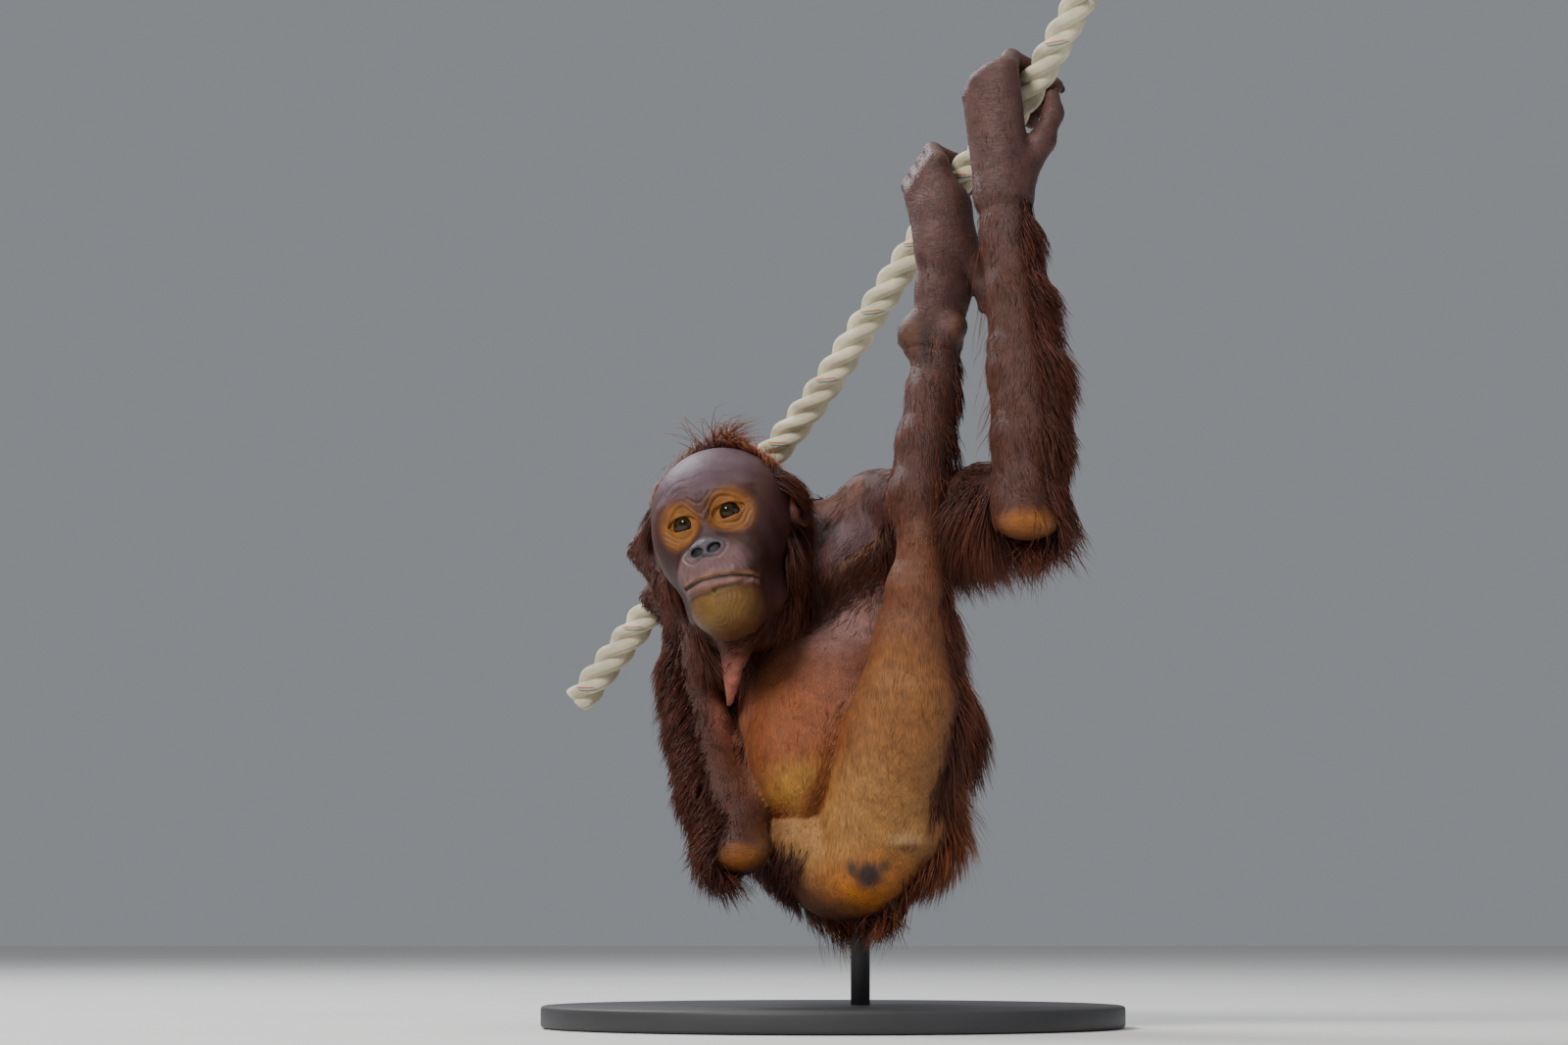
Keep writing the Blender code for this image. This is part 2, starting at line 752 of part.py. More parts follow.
def undercoat_forms():
    return {
        "head": [
            head_ball(0, -20, 12, (57, 51, 56), 8),
            cone(on_head(0, -8, 50), on_head(-1, -6, 62), 24, 12, 10),
        ],
        "torso": [ball((0.052, 0.070, 0.262), (48, 41, 80), chest_axes, 20)],
        "rump": [cone((0.052, 0.016, 0.138), (0.020, 0.000, 0.100), 36, 26, 16)],
        "upper_arm_left": [cone((0.085, -0.030, 0.370), (0.130, -0.110, 0.362), 25, 16, 10)],
        "upper_arm_right": [cone((-0.045, 0.108, 0.284), (-0.056, 0.030, 0.200), 29, 22, 10)],
        "forearm_left": [cone((0.147, -0.118, 0.380), (0.143, -0.088, 0.500), 18, 13, 10)],
        "forearm_right": [cone((-0.090, -0.010, 0.150), (-0.120, 0.045, 0.240), 18, 15, 10)],
        "thigh_left": [cone((0.070, -0.030, 0.200), (0.072, -0.045, 0.260), 24, 16, 12)],
    }


def cap_roots(centre, facing, spread, count):
    facing = unit(facing)
    side = unit(np.cross(facing, (0.31, 0.87, 0.39)))
    other = np.cross(facing, side)
    roots = []
    for number in range(count):
        tilt = math.radians(spread) * math.sqrt((number + 0.5) / count)
        turn = 2.399963 * number
        way = facing * math.cos(tilt) + (side * math.cos(turn) + other * math.sin(turn)) * math.sin(tilt)
        roots.append((vec(centre), way))
    return roots


def limb_roots(start, end, facing, spread, rows, across):
    along = unit(vec(end) - vec(start))
    out = unit(vec(facing) - along * np.dot(vec(facing), along))
    side = np.cross(along, out)
    roots = []
    for row in range(rows):
        centre = mixed(start, end, (row + 0.5) / rows)
        for column in range(across):
            turn = math.radians(spread) * ((column + 0.5 + 0.5 * (row % 2)) / across - 0.62)
            roots.append((centre, out * math.cos(turn) + side * math.sin(turn)))
    return roots


def lock_mesh(root, normal, lie, length, width, lift, droop):
    flow = unit(vec(lie) - normal * np.dot(vec(lie), normal))
    path = []
    for share in (0.0, 0.38, 0.72, 1.0):
        place = root - normal * 0.0035 + flow * length * share
        place = place + normal * (lift * length * math.sin(share * 1.9) + 0.002 * share)
        place = place + vec((0.0, 0.0, -1.0)) * droop * length * share ** 2
        path.append(place)
    points = []
    for number, share in enumerate((0.72, 1.0, 0.62)):
        ahead = unit(path[number + 1] - path[number])
        side = unit(np.cross(ahead, normal))
        top = np.cross(side, ahead)
        half = width * share * 0.5
        thick = width * share * 0.26
        points += [path[number] - side * half, path[number] + side * half, path[number] + top * thick]
    points.append(path[3])
    faces = [(0, 1, 2)]
    for ring in (0, 3):
        for side in range(3):
            nxt = (side + 1) % 3
            faces.append((ring + side, ring + 3 + side, ring + 3 + nxt, ring + nxt))
    faces += [(6, 9, 7), (7, 9, 8), (8, 9, 6)]
    return points, faces


coat_plan = [
    # node, roots, lie, length, width, lift, droop
    ("head", lambda: cap_roots(on_head(0, -8, 10), -0.62 * head_axes[1] + 0.70 * head_axes[2], 62, 18),
     lambda way: -0.55 * head_axes[1] + 0.9 * way, 30, 17, 0.55, 0.0),
    ("head", lambda: cap_roots(on_head(0, -6, 10), head_axes[2] + 0.12 * head_axes[1], 20, 6),
     lambda way: head_axes[2] * 0.2 - 0.3 * head_axes[0] + 0.2 * way, 30, 15, 1.1, 0.0),
    ("head", lambda: limb_roots(on_head(-30, -14, 32), on_head(-32, -8, -44), -head_axes[0], 60, 4, 2),
     lambda way: -head_axes[2] - 0.5 * head_axes[0], 26, 15, 0.5, 0.1),
    ("head", lambda: limb_roots(on_head(30, -26, 30), on_head(32, -24, -44), head_axes[0], 40, 3, 2),
     lambda way: -head_axes[2] - 0.7 * head_axes[1], 22, 15, 0.4, 0.1),
    ("torso", lambda: cap_roots((0.040, 0.058, 0.265), (0.75, 0.62, -0.05), 74, 22),
     lambda way: vec((0.35, 0.1, -1.0)), 46, 24, 0.30, 0.15),
    ("rump", lambda: cap_roots((0.040, 0.005, 0.140), (0.62, 0.35, -0.65), 66, 13),
     lambda way: vec((0.2, 0.0, -1.0)), 36, 22, 0.30, 0.15),
    ("upper_arm_left", lambda: limb_roots(
        (0.070, 0.000, 0.378), (0.132, -0.108, 0.378), (0.2, 0.3, -1.0), 120, 3, 3),
     lambda way: vec((0.3, 0.4, -0.6)), 46, 20, 0.35, 0.35),
    ("forearm_left", lambda: limb_roots(
        (0.139, -0.110, 0.400), (0.129, -0.066, 0.570), (1.0, 0.15, 0.0), 100, 6, 2),
     lambda way: vec((0.1, 0.0, -1.0)), 36, 17, 0.42, 0.05),
    ("upper_arm_right", lambda: limb_roots(
        (-0.046, 0.080, 0.268), (-0.064, -0.005, 0.165), (-0.3, 0.9, -0.5), 120, 3, 3),
     lambda way: vec((-0.2, 0.2, -1.0)), 36, 18, 0.35, 0.1),
    ("forearm_right", lambda: limb_roots(
        (-0.074, -0.020, 0.140), (-0.112, 0.065, 0.290), (-1.0, -0.1, -0.25), 120, 5, 3),
     lambda way: vec((-0.5, -0.2, -0.7)), 32, 17, 0.50, 0.05),
    ("forearm_right", lambda: cap_roots((-0.072, -0.026, 0.136), (-0.25, 0.35, -1.0), 60, 6),
     lambda way: vec((0.2, 0.1, -1.0)) + 0.6 * way, 30, 16, 0.5, 0.1),
    ("thigh_left", lambda: limb_roots(
        (0.044, -0.045, 0.190), (0.058, -0.070, 0.285), (1.0, 0.75, 0.0), 80, 3, 2),
     lambda way: vec((0.3, 0.1, -1.0)), 30, 18, 0.35, 0.1),
    ("thigh_right", lambda: limb_roots(
        (-0.024, 0.030, 0.145), (-0.052, 0.118, 0.182), (-0.2, 0.2, -1.0), 120, 3, 2),
     lambda way: vec((-0.1, 0.3, -0.6)), 32, 18, 0.35, 0.1),
    ("shank_right", lambda: limb_roots(
        (-0.058, 0.150, 0.220), (-0.050, 0.180, 0.330), (-0.3, 1.0, 0.0), 120, 3, 2),
     lambda way: vec((0.0, 0.1, -1.0)), 28, 16, 0.35, 0.1),
    ("neck", lambda: cap_roots((-0.030, 0.050, 0.350), (0.25, 0.85, 0.45), 60, 5),
     lambda way: vec((0.3, 0.6, -0.7)), 30, 18, 0.3, 0.1),
]


def lies_clear(points, faces, others):
    tree = BVHTree.FromPolygons([Vector(tuple(point)) for point in points], faces)
    return not any(tree.overlap(other) for other in others)


def add_coat(parts):
    seeded = random.Random(7)
    bodies = {part.name: tree_of(part) for part in parts}
    grown = {name: [] for name in bodies}
    kept = 0
    for name, roots, lie, length, width, lift, droop in coat_plan:
        tree = bodies[name]
        for centre, way in roots():
            hit = tree.ray_cast(Vector(tuple(centre + way * 0.3)), Vector(tuple(-way)))
            if hit[0] is None:
                continue
            root, normal = vec(hit[0]), unit(hit[1])
            others = [bodies[other] for other in bodies if other != name]
            others += [one for other in grown if other != name for one in grown[other]]
            for attempt in range(5):
                long = length * mm * seeded.uniform(0.8, 1.15) * (1.0 - 0.11 * attempt)
                rise = lift * (1.0 + 0.35 * attempt)
                bent = vec(lie(way)) + vec([seeded.uniform(-0.22, 0.22) for k in range(3)])
                wide = width * mm * (1 - 0.08 * attempt)
                points, faces = lock_mesh(root, normal, bent, long, wide, rise, droop)
                low = min(point[2] for point in points)
                if low > base_thickness + 0.012 and lies_clear(points, faces, others):
                    grown[name].append(BVHTree.FromPolygons([Vector(tuple(p)) for p in points], faces))
                    lock = add_object(name + "_lock", points, faces)
                    tidy_normals(lock)
                    lock["grows_on"] = name
                    kept += 1
                    break
    print("locks", kept, {name: len(trees) for name, trees in grown.items() if trees})
    for part in parts:
        locks = [thing for thing in bpy.data.objects if thing.get("grows_on") == part.name]
        if locks:
            combine(part, locks, "UNION")


# Assembly


def carve_face(head):
    cutters = []
    for side in (-1, 1):
        centre = on_head(side * eye_spacing / mm, eye_forward / mm, 0)
        bpy.ops.mesh.primitive_uv_sphere_add(segments=12, ring_count=8, radius=eyeball_radius + part_gap)
        socket = bpy.context.object
        shape_into_place(socket, centre)
        cutters.append(socket)
        slit = []
        rows = 14
        for depth in (4.0, 22.0):
            for number in range(rows):
                angle = 2.0 * math.pi * number / rows
                across = math.cos(angle)
                lift = math.copysign(abs(math.sin(angle)) ** 1.25, math.sin(angle))
                rise = 1.2 * side * across
                slit.append(on_head(
                    side * (eye_spacing / mm + 0.4) + across * eye_opening_width * 0.5 / mm,
                    eye_forward / mm + depth,
                    lift * eye_opening_height * 0.5 / mm + rise,
                ))
        faces = [tuple(range(rows)), tuple(range(rows, 2 * rows))[::-1]]
        for number in range(rows):
            nxt = (number + 1) % rows
            faces.append((number, rows + number, rows + nxt, nxt))
        opening = add_object("eye_slit", slit, faces)
        tidy_normals(opening)
        cutters.append(opening)
        bpy.ops.mesh.primitive_uv_sphere_add(segments=10, ring_count=6, radius=1.0)
        nostril = bpy.context.object
        for vert in nostril.data.vertices:
            vert.co = Vector((vert.co.x * 3.5 * mm, vert.co.y * 6.0 * mm, vert.co.z * 2.4 * mm))
        shape_into_place(nostril, on_head(1.5 + side * 5.9, 71.5, -32.3))
        cutters.append(nostril)
    combine(head, cutters, "DIFFERENCE")


def tidy_normals(thing):
    work = bmesh.new()
    work.from_mesh(thing.data)
    bmesh.ops.recalc_face_normals(work, faces=work.faces)
    work.to_mesh(thing.data)
    work.free()


def shape_into_place(thing, centre):
    for vert in thing.data.vertices:
        local = vec(vert.co) @ head_axes
        vert.co = Vector(tuple(vec(centre) + local))
    thing.location = (0.0, 0.0, 0.0)
    tidy_normals(thing)


def build_eye(name, side):
    centre = on_head(side * eye_spacing / mm, eye_forward / mm, 0)
    bpy.ops.mesh.primitive_uv_sphere_add(segments=12, ring_count=8, radius=eyeball_radius)
    eye = bpy.context.object
    eye.name = name
    eye.data.name = name
    shape_into_place(eye, centre)
    largest_shell(eye)
    return eye


def build_disc():
    sides = 48
    rings = [
        (base_radius - base_edge, 0.0), (base_radius, base_edge),
        (base_radius, base_thickness - base_edge), (base_radius - base_edge, base_thickness),
    ]
    points = []
    for radius, height in rings:
        for number in range(sides):
            angle = 2.0 * math.pi * number / sides
            points.append((radius * math.cos(angle), radius * math.sin(angle), height))
    faces = [tuple(range(sides))[::-1], tuple(range(3 * sides, 4 * sides))]
    for ring in range(3):
        for number in range(sides):
            nxt = (number + 1) % sides
            faces.append((ring * sides + number, ring * sides + nxt,
                          (ring + 1) * sides + nxt, (ring + 1) * sides + number))
    disc = add_object("stand_base", points, faces)
    largest_shell(disc)
    return disc


def build_rod(top):
    sides = 20
    points = []
    for height in (base_thickness + part_gap, top):
        for number in range(sides):
            angle = 2.0 * math.pi * number / sides
            points.append((rod_place[0] + rod_radius * math.cos(angle),
                           rod_place[1] + rod_radius * math.sin(angle), height))
    faces = [tuple(range(sides))[::-1], tuple(range(sides, 2 * sides))]
    for number in range(sides):
        nxt = (number + 1) % sides
        faces.append((number, nxt, sides + nxt, sides + number))
    rod = add_object("stand_rod", points, faces)
    largest_shell(rod)
    return rod


def give_material(thing, material):
    thing.data.materials.clear()
    thing.data.materials.append(material)


def build():
    clear_scene()
    coat = make_material("coat", coat_colour)
    bare = make_material("bare_skin", bare_colour, 0.6)
    eye_shine = make_material("eye_surface", eye_colour, 0.2)
    fibre = make_material("rope_fibre", rope_colour, 0.9)
    metal = make_material("stand_paint", stand_colour, 0.5)
    plain = undercoat_forms()
    recipes = [
        ("torso", torso_forms(), 3.2, 700, coat),
        ("neck", neck_forms(), 3.0, 240, coat),
        ("head", head_forms(), 1.6, 2000, coat),
        ("rump", rump_forms(), 3.0, 480, coat),
        ("upper_arm_left", upper_arm_forms("left"), 2.6, 220, coat),
        ("upper_arm_right", upper_arm_forms("right"), 2.6, 220, coat),
        ("thigh_left", thigh_forms("left"), 2.8, 300, coat),
        ("thigh_right", thigh_forms("right"), 2.8, 240, coat),
        ("forearm_left", forearm_forms("left"), 2.4, 340, coat),
        ("forearm_right", forearm_forms("right"), 2.4, 340, coat),
        ("shank_left", shank_forms("left"), 2.4, 240, coat),
        ("shank_right", shank_forms("right"), 2.4, 200, coat),
        ("hand_left", hand_left_forms(), 1.4, 700, bare),
        ("hand_right", hand_right_forms(), 1.4, 480, bare),
        ("foot_left", foot_left_forms(), 1.4, 720, bare),
        ("foot_right", foot_right_forms(), 1.4, 480, bare),
        ("ear_left", ear_forms(1), 0.9, 240, bare),
        ("ear_right", ear_forms(-1), 0.9, 240, bare),
    ]
    rope = build_rope()
    give_material(rope, fibre)
    done = [rope]
    for name, forms, step, target, material in recipes:
        part = grow_part(name, forms + plain.get(name, []), step, target)
        cut_clear_of(part, done)
        give_material(part, material)
        done.append(part)
        if name == "head":
            carve_face(part)
            give_material(part, material)
            for eye_name, side in (("eye_left", 1), ("eye_right", -1)):
                eye = build_eye(eye_name, side)
                give_material(eye, eye_shine)
                done.append(eye)
    disc = build_disc()
    give_material(disc, metal)
    rod = build_rod(0.115)
    cut_clear_of(rod, done)
    give_material(rod, metal)
    done += [disc, rod]
    add_coat(done)
    total = 0
    for thing in done:
        count = triangle_count(thing)
        total += count
        print("part", thing.name, count)
    print("parts", len(done), "triangles", total)


build()
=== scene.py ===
import json
import math
import time

import bmesh
import bpy
import numpy as np
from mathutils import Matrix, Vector
from mathutils.kdtree import KDTree

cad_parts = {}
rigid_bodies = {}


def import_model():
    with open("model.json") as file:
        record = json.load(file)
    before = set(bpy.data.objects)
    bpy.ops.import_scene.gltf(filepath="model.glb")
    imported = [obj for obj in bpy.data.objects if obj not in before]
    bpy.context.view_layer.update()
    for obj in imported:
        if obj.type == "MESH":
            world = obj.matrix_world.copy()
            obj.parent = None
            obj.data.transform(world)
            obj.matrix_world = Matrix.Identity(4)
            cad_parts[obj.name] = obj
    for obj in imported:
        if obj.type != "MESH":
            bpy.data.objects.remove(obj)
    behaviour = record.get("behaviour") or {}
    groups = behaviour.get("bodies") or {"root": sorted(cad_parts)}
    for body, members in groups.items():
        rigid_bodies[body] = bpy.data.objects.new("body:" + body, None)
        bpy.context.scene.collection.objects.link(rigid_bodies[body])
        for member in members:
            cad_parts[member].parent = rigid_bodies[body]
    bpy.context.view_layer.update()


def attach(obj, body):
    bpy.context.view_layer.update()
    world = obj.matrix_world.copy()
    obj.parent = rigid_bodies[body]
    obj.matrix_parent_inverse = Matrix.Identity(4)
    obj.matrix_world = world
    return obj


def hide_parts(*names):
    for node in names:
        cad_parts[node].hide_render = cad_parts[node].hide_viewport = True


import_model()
startedAt = time.time()
mm = 0.001


def report(words):
    print("%5.1f s  %s" % (time.time() - startedAt, words))


def vec(point):
    return np.array(point, dtype=float)


def unit(way):
    way = vec(way)
    return way / np.linalg.norm(way)


def mixed(start, end, share):
    return vec(start) * (1 - share) + vec(end) * share


def tinted(colours, colour, share):
    return colours * (1 - share[:, None]) + colour * share[:, None]


def smooth(low, high, value):
    share = np.clip((value - low) / (high - low), 0.0, 1.0)
    return share * share * (3 - 2 * share)


def shade(red, green, blue):
    return np.array([(level / 255.0) ** 2.2 for level in (red, green, blue)])


pose = {
    "headCentre": (-0.080, 0.000, 0.366),
    "headTurn": (18.0, 9.0, 16.0),  # yaw, pitch and lean in degrees
    "chestLeft": (0.617, -0.449, 0.647), "chestFront": (-0.567, -0.825, -0.031),
    "pelvisLeft": (0.49, -0.46, 0.74), "pelvisFront": (-0.84, -0.10, 0.50),
}


def bodyFrame(leftWay, frontWay):
    left = unit(leftWay)
    front = unit(vec(frontWay) - left * np.dot(left, vec(frontWay)))
    return np.array([left, front, np.cross(front, left)])


def headFrame():
    yaw, pitch, lean = [math.radians(turn) for turn in pose["headTurn"]]
    front = vec((-math.sin(yaw), -math.cos(yaw), 0.0))
    left = vec((math.cos(yaw), -math.sin(yaw), 0.0))
    top = vec((0.0, 0.0, 1.0))
    raised = math.cos(pitch) * front + math.sin(pitch) * top
    leaned = math.cos(pitch) * top - math.sin(pitch) * front
    return np.array([
        math.cos(lean) * left + math.sin(lean) * leaned, raised,
        math.cos(lean) * leaned - math.sin(lean) * left,
    ])


headAxes = headFrame()
headCentre = vec(pose["headCentre"])
chestAxes = bodyFrame(pose["chestLeft"], pose["chestFront"])
pelvisAxes = bodyFrame(pose["pelvisLeft"], pose["pelvisFront"])


def onHead(left, front, up):
    return headCentre + (vec((left, front, up)) * mm) @ headAxes


def toHead(points):
    return (points - headCentre) @ headAxes.T / mm


def cone(start, end, startRadius, endRadius, blend=6.0, flat=1.0, flatWay=(0, 0, 1), carve=False):
    reach = max(startRadius, endRadius) * mm * max(flat, 1.0)
    ends = np.array([vec(start), vec(end)])
    return {
        "kind": "cone", "start": vec(start), "end": vec(end), "radii": (startRadius * mm, endRadius * mm),
        "blend": blend * mm, "flat": flat, "flatWay": unit(flatWay), "carve": carve,
        "low": ends.min(0) - reach, "high": ends.max(0) + reach,
    }


def ball(centre, radii, axes=None, blend=10.0, carve=False):
    radii = vec(radii) * mm
    axes = np.eye(3) if axes is None else axes
    reach = np.sqrt(((axes * radii[:, None]) ** 2).sum(0))
    return {
        "kind": "ball", "centre": vec(centre), "radii": radii, "axes": axes, "blend": blend * mm,
        "carve": carve, "low": vec(centre) - reach, "high": vec(centre) + reach,
    }


def headBall(left, front, up, radii, blend=10.0, carve=False):
    return ball(onHead(left, front, up), radii, headAxes, blend, carve)


def slit(centre, side, width, height, blend):
    return {
        "kind": "slit", "centre": centre, "side": side, "size": (width * mm / 2, height * mm / 2),
        "blend": blend * mm, "carve": True, "low": centre - 0.016, "high": centre + 0.016,
    }


def chain(points, radii, blend=6.0, flat=1.0, flatWay=(0, 0, 1)):
    return [
        cone(points[k], points[k + 1], radii[k], radii[k + 1], blend, flat, flatWay)
        for k in range(len(points) - 1)
    ]


def joined(forms, blend=6.0):
    # Several forms that meet the rest of the body as one
    low, high = np.min([form["low"] for form in forms], 0), np.max([form["high"] for form in forms], 0)
    return {"kind": "joined", "forms": forms, "blend": blend * mm, "carve": False, "low": low, "high": high}


def formsNear(forms, low, high, margin):
    near = []
    for form in forms:
        room = form["blend"] + margin
        if np.all(form["low"] - room < high) and np.all(form["high"] + room > low):
            if form["kind"] == "joined":
                form = dict(form, forms=formsNear(form["forms"], low, high, margin + form["blend"]))
            if form.get("forms", True):
                near.append(form)
    return near


def distanceTo(form, points):
    if form["kind"] == "joined":
        return blended(form["forms"], points)
    if form["kind"] == "ball":
        local = (points - form["centre"]) @ form["axes"].T
        near = np.linalg.norm(local / form["radii"], axis=1)
        steep = np.linalg.norm(local / form["radii"] ** 2, axis=1)
        return near * (near - 1.0) / np.maximum(steep, 1e-9)
    if form["kind"] == "slit":
        local = (points - form["centre"]) @ headAxes.T
        across, lift = local[:, 0], local[:, 2] - 0.07 * form["side"] * local[:, 0]
        wide, high = form["size"]
        bow = np.sqrt(np.clip(1.0 - (across / wide) ** 2, 0.0, 1.0))
        rim = np.where(lift > 0, high * 0.90, high * 0.98)
        almond = np.maximum(np.abs(lift) - rim * bow ** 0.95, (np.abs(across) - wide) * 0.8)
        return np.maximum(almond, 0.004 - local[:, 1])
    start = form["start"]
    along = form["end"] - start
    share = np.clip((points - start) @ along / np.dot(along, along), 0.0, 1.0)
    offset = points - start - share[:, None] * along
    radius = form["radii"][0] + (form["radii"][1] - form["radii"][0]) * share
    length = np.linalg.norm(offset, axis=1)
    if form["flat"] == 1.0:
        return length - radius
    across = offset @ form["flatWay"]
    squeezed = offset + np.outer(across * (1.0 / form["flat"] - 1.0), form["flatWay"])
    wide = np.maximum(np.linalg.norm(squeezed, axis=1), 1e-9)
    return (wide - radius) * np.maximum(length, 1e-9) / wide


def blended(forms, points):
    total = None
    for form in forms:
        if total is None and form["carve"]:
            continue
        near = distanceTo(form, points)
        if total is None:
            total = near
            continue
        size = form["blend"]
        if form["carve"]:
            overlap = np.maximum(size - np.abs(total + near), 0.0) / size
            total = np.maximum(total, -near) + overlap ** 2 * size * 0.25
        else:
            overlap = np.maximum(size - np.abs(total - near), 0.0) / size
            total = np.minimum(total, near) - overlap ** 2 * size * 0.25
    return np.ones(len(points)) if total is None else total


gridHabit = {
    "block": 18,  # cells along the side of a block
    "slack": 1.7, "margin": 0.004,  # a block whose middle lies farther off than this holds no surface
}


def fieldGrid(forms, low, high, step):
    # Blocks far from the surface are filled without working out each point
    low, high = vec(low), vec(high)
    counts = np.ceil((high - low) / step).astype(int) + 1
    values = np.ones(counts, dtype=np.float32)
    block = gridHabit["block"]
    reach = 0.5 * block * step * math.sqrt(3.0)
    for x in range(0, counts[0], block):
        for y in range(0, counts[1], block):
            for z in range(0, counts[2], block):
                first = np.array([x, y, z])
                last = np.minimum(first + block, counts)
                boxLow, boxHigh = low + first * step, low + last * step
                inside = formsNear(forms, boxLow, boxHigh, 2 * step)
                carved = any(form["carve"] for form in inside)
                if not any(not form["carve"] for form in inside):
                    continue
                middle = blended(inside, ((boxLow + boxHigh) / 2)[None])[0]
                if abs(middle) > reach * gridHabit["slack"] + gridHabit["margin"] and not carved:
                    values[x:last[0], y:last[1], z:last[2]] = math.copysign(1.0, middle)
                    continue
                lines = [low[k] + step * np.arange(first[k], last[k]) for k in range(3)]
                grid = np.stack(np.meshgrid(*lines, indexing="ij"), -1)
                found = blended(inside, grid.reshape(-1, 3)).reshape(grid.shape[:3])
                values[x:last[0], y:last[1], z:last[2]] = found
    return values, low


def netSurface(values, low, step):
    # One point in each cell that the surface crosses, joined by quads across the crossed edges
    counts = np.array(values.shape)
    inside = values < 0
    corners = [(x, y, z) for x in (0, 1) for y in (0, 1) for z in (0, 1)]

    def corner(array, place):
        return array[tuple(slice(place[k], counts[k] - 1 + place[k]) for k in range(3))]

    number = np.zeros(counts - 1, dtype=np.uint8)
    for place in corners:
        number += corner(inside, place)
    live = np.argwhere((number > 0) & (number < 8))
    cornerValues = {place: values[tuple((live + place).T)] for place in corners}
    total = np.zeros((len(live), 3))
    hits = np.zeros(len(live))
    for first in corners:
        for axis in range(3):
            if first[axis]:
                continue
            second = tuple(1 if k == axis else first[k] for k in range(3))
            one, two = cornerValues[first], cornerValues[second]
            crossed = (one < 0) != (two < 0)
            share = one[crossed] / (one[crossed] - two[crossed])
            spot = np.tile(np.array(first, float), (len(share), 1))
            spot[:, axis] += share
            total[crossed] += spot
            hits[crossed] += 1
    points = low + step * (live + total / hits[:, None])
    index = np.full(counts - 1, -1, dtype=np.int32)
    index[live[:, 0], live[:, 1], live[:, 2]] = np.arange(len(live))
    faces = []
    for axis in range(3):
        second, third = (axis + 1) % 3, (axis + 2) % 3
        lower = [slice(1, counts[k] - 1) for k in range(3)]
        lower[axis] = slice(0, counts[axis] - 1)
        upper = list(lower)
        upper[axis] = slice(1, counts[axis])
        before, after = inside[tuple(lower)], inside[tuple(upper)]
        for leaving in (True, False):
            base = np.argwhere(before & ~after) if leaving else np.argwhere(after & ~before)
            base[:, second] += 1
            base[:, third] += 1
            ring = []
            for backSecond, backThird in ((1, 1), (0, 1), (0, 0), (1, 0)):
                cell = base.copy()
                cell[:, second] -= backSecond
                cell[:, third] -= backThird
                ring.append(index[cell[:, 0], cell[:, 1], cell[:, 2]])
            quad = np.stack(ring, -1)
            faces.append(quad if leaving else quad[:, ::-1])
    faces = np.concatenate(faces)
    return points, faces[(faces >= 0).all(1)]


def meshObject(name, points, faces, smoothShade=True):
    mesh = bpy.data.meshes.new(name)
    points, faces = np.asarray(points, dtype=np.float32), np.asarray(faces, dtype=np.int32)
    sides = faces.shape[1]
    mesh.vertices.add(len(points))
    mesh.vertices.foreach_set("co", points.ravel())
    mesh.loops.add(faces.size)
    mesh.loops.foreach_set("vertex_index", faces.ravel())
    mesh.polygons.add(len(faces))
    mesh.polygons.foreach_set("loop_start", np.arange(0, faces.size, sides, dtype=np.int32))
    mesh.polygons.foreach_set("loop_total", np.full(len(faces), sides, dtype=np.int32))
    mesh.polygons.foreach_set("use_smooth", np.full(len(faces), smoothShade))
    mesh.update(calc_edges=True)
    thing = bpy.data.objects.new(name, mesh)
    bpy.context.scene.collection.objects.link(thing)
    return thing


def ringFaces(rings, sides, base=0):
    # Quads between rings of points that are listed ring after ring
    faces = []
    for ring in range(rings):
        for side in range(sides):
            nxt, row = (side + 1) % sides, base + ring * sides
            faces.append((row + side, row + nxt, row + sides + nxt, row + sides + side))
    return faces


def paintPoints(thing, colours):
    layer = thing.data.color_attributes.new("tint", "FLOAT_COLOR", "POINT")
    flat = np.ones((len(colours), 4), dtype=np.float32)
    flat[:, :3] = colours
    layer.data.foreach_set("color", flat.ravel())


ropeShape = {
    "course": [
        (-0.194, 0.170, 0.246), (-0.109, 0.123, 0.351), (-0.066, 0.100, 0.406), (-0.014, 0.070, 0.468),
        (0.037, 0.041, 0.543), (0.087, 0.012, 0.617), (0.104, 0.002, 0.641), (0.142, -0.022, 0.685),
        (0.184, -0.052, 0.757),
    ],
    "strandRadius": 6.3, "strandOffset": 5.7, "layLength": 62.0, "rings": 420, "sides": 24,
    "courseSteps": 400, "gripSteps": 300,  # points along the course when it is measured or gripped
    "cream": shade(206, 196, 168), "markers": ((-18, shade(176, 84, 52)), (14, shade(30, 112, 110))),
}


def ropeCurve(share):
    course = ropeShape["course"]
    spans = len(course) - 1
    place = min(max(share, 0.0), 1.0) * spans
    number = min(int(place), spans - 1)
    local = place - number
    knots = [vec(course[min(max(number + k, 0), spans)]) for k in (-1, 0, 1, 2)]
    first, last = (knots[2] - knots[0]) * 0.5, (knots[3] - knots[1]) * 0.5
    square, cube = local ** 2, local ** 3
    return (
        knots[1] * (2 * cube - 3 * square + 1) + first * (cube - 2 * square + local)
        + knots[2] * (3 * square - 2 * cube) + last * (cube - square)
    )


def ropeSamples(count):
    steps = ropeShape["courseSteps"]
    fine = np.array([ropeCurve(k / steps) for k in range(steps + 1)])
    length = np.concatenate([[0.0], np.cumsum(np.linalg.norm(np.diff(fine, axis=0), axis=1))])
    wanted = np.linspace(0.0, length[-1], count)
    return np.stack([np.interp(wanted, length, fine[:, k]) for k in range(3)], -1), length[-1]


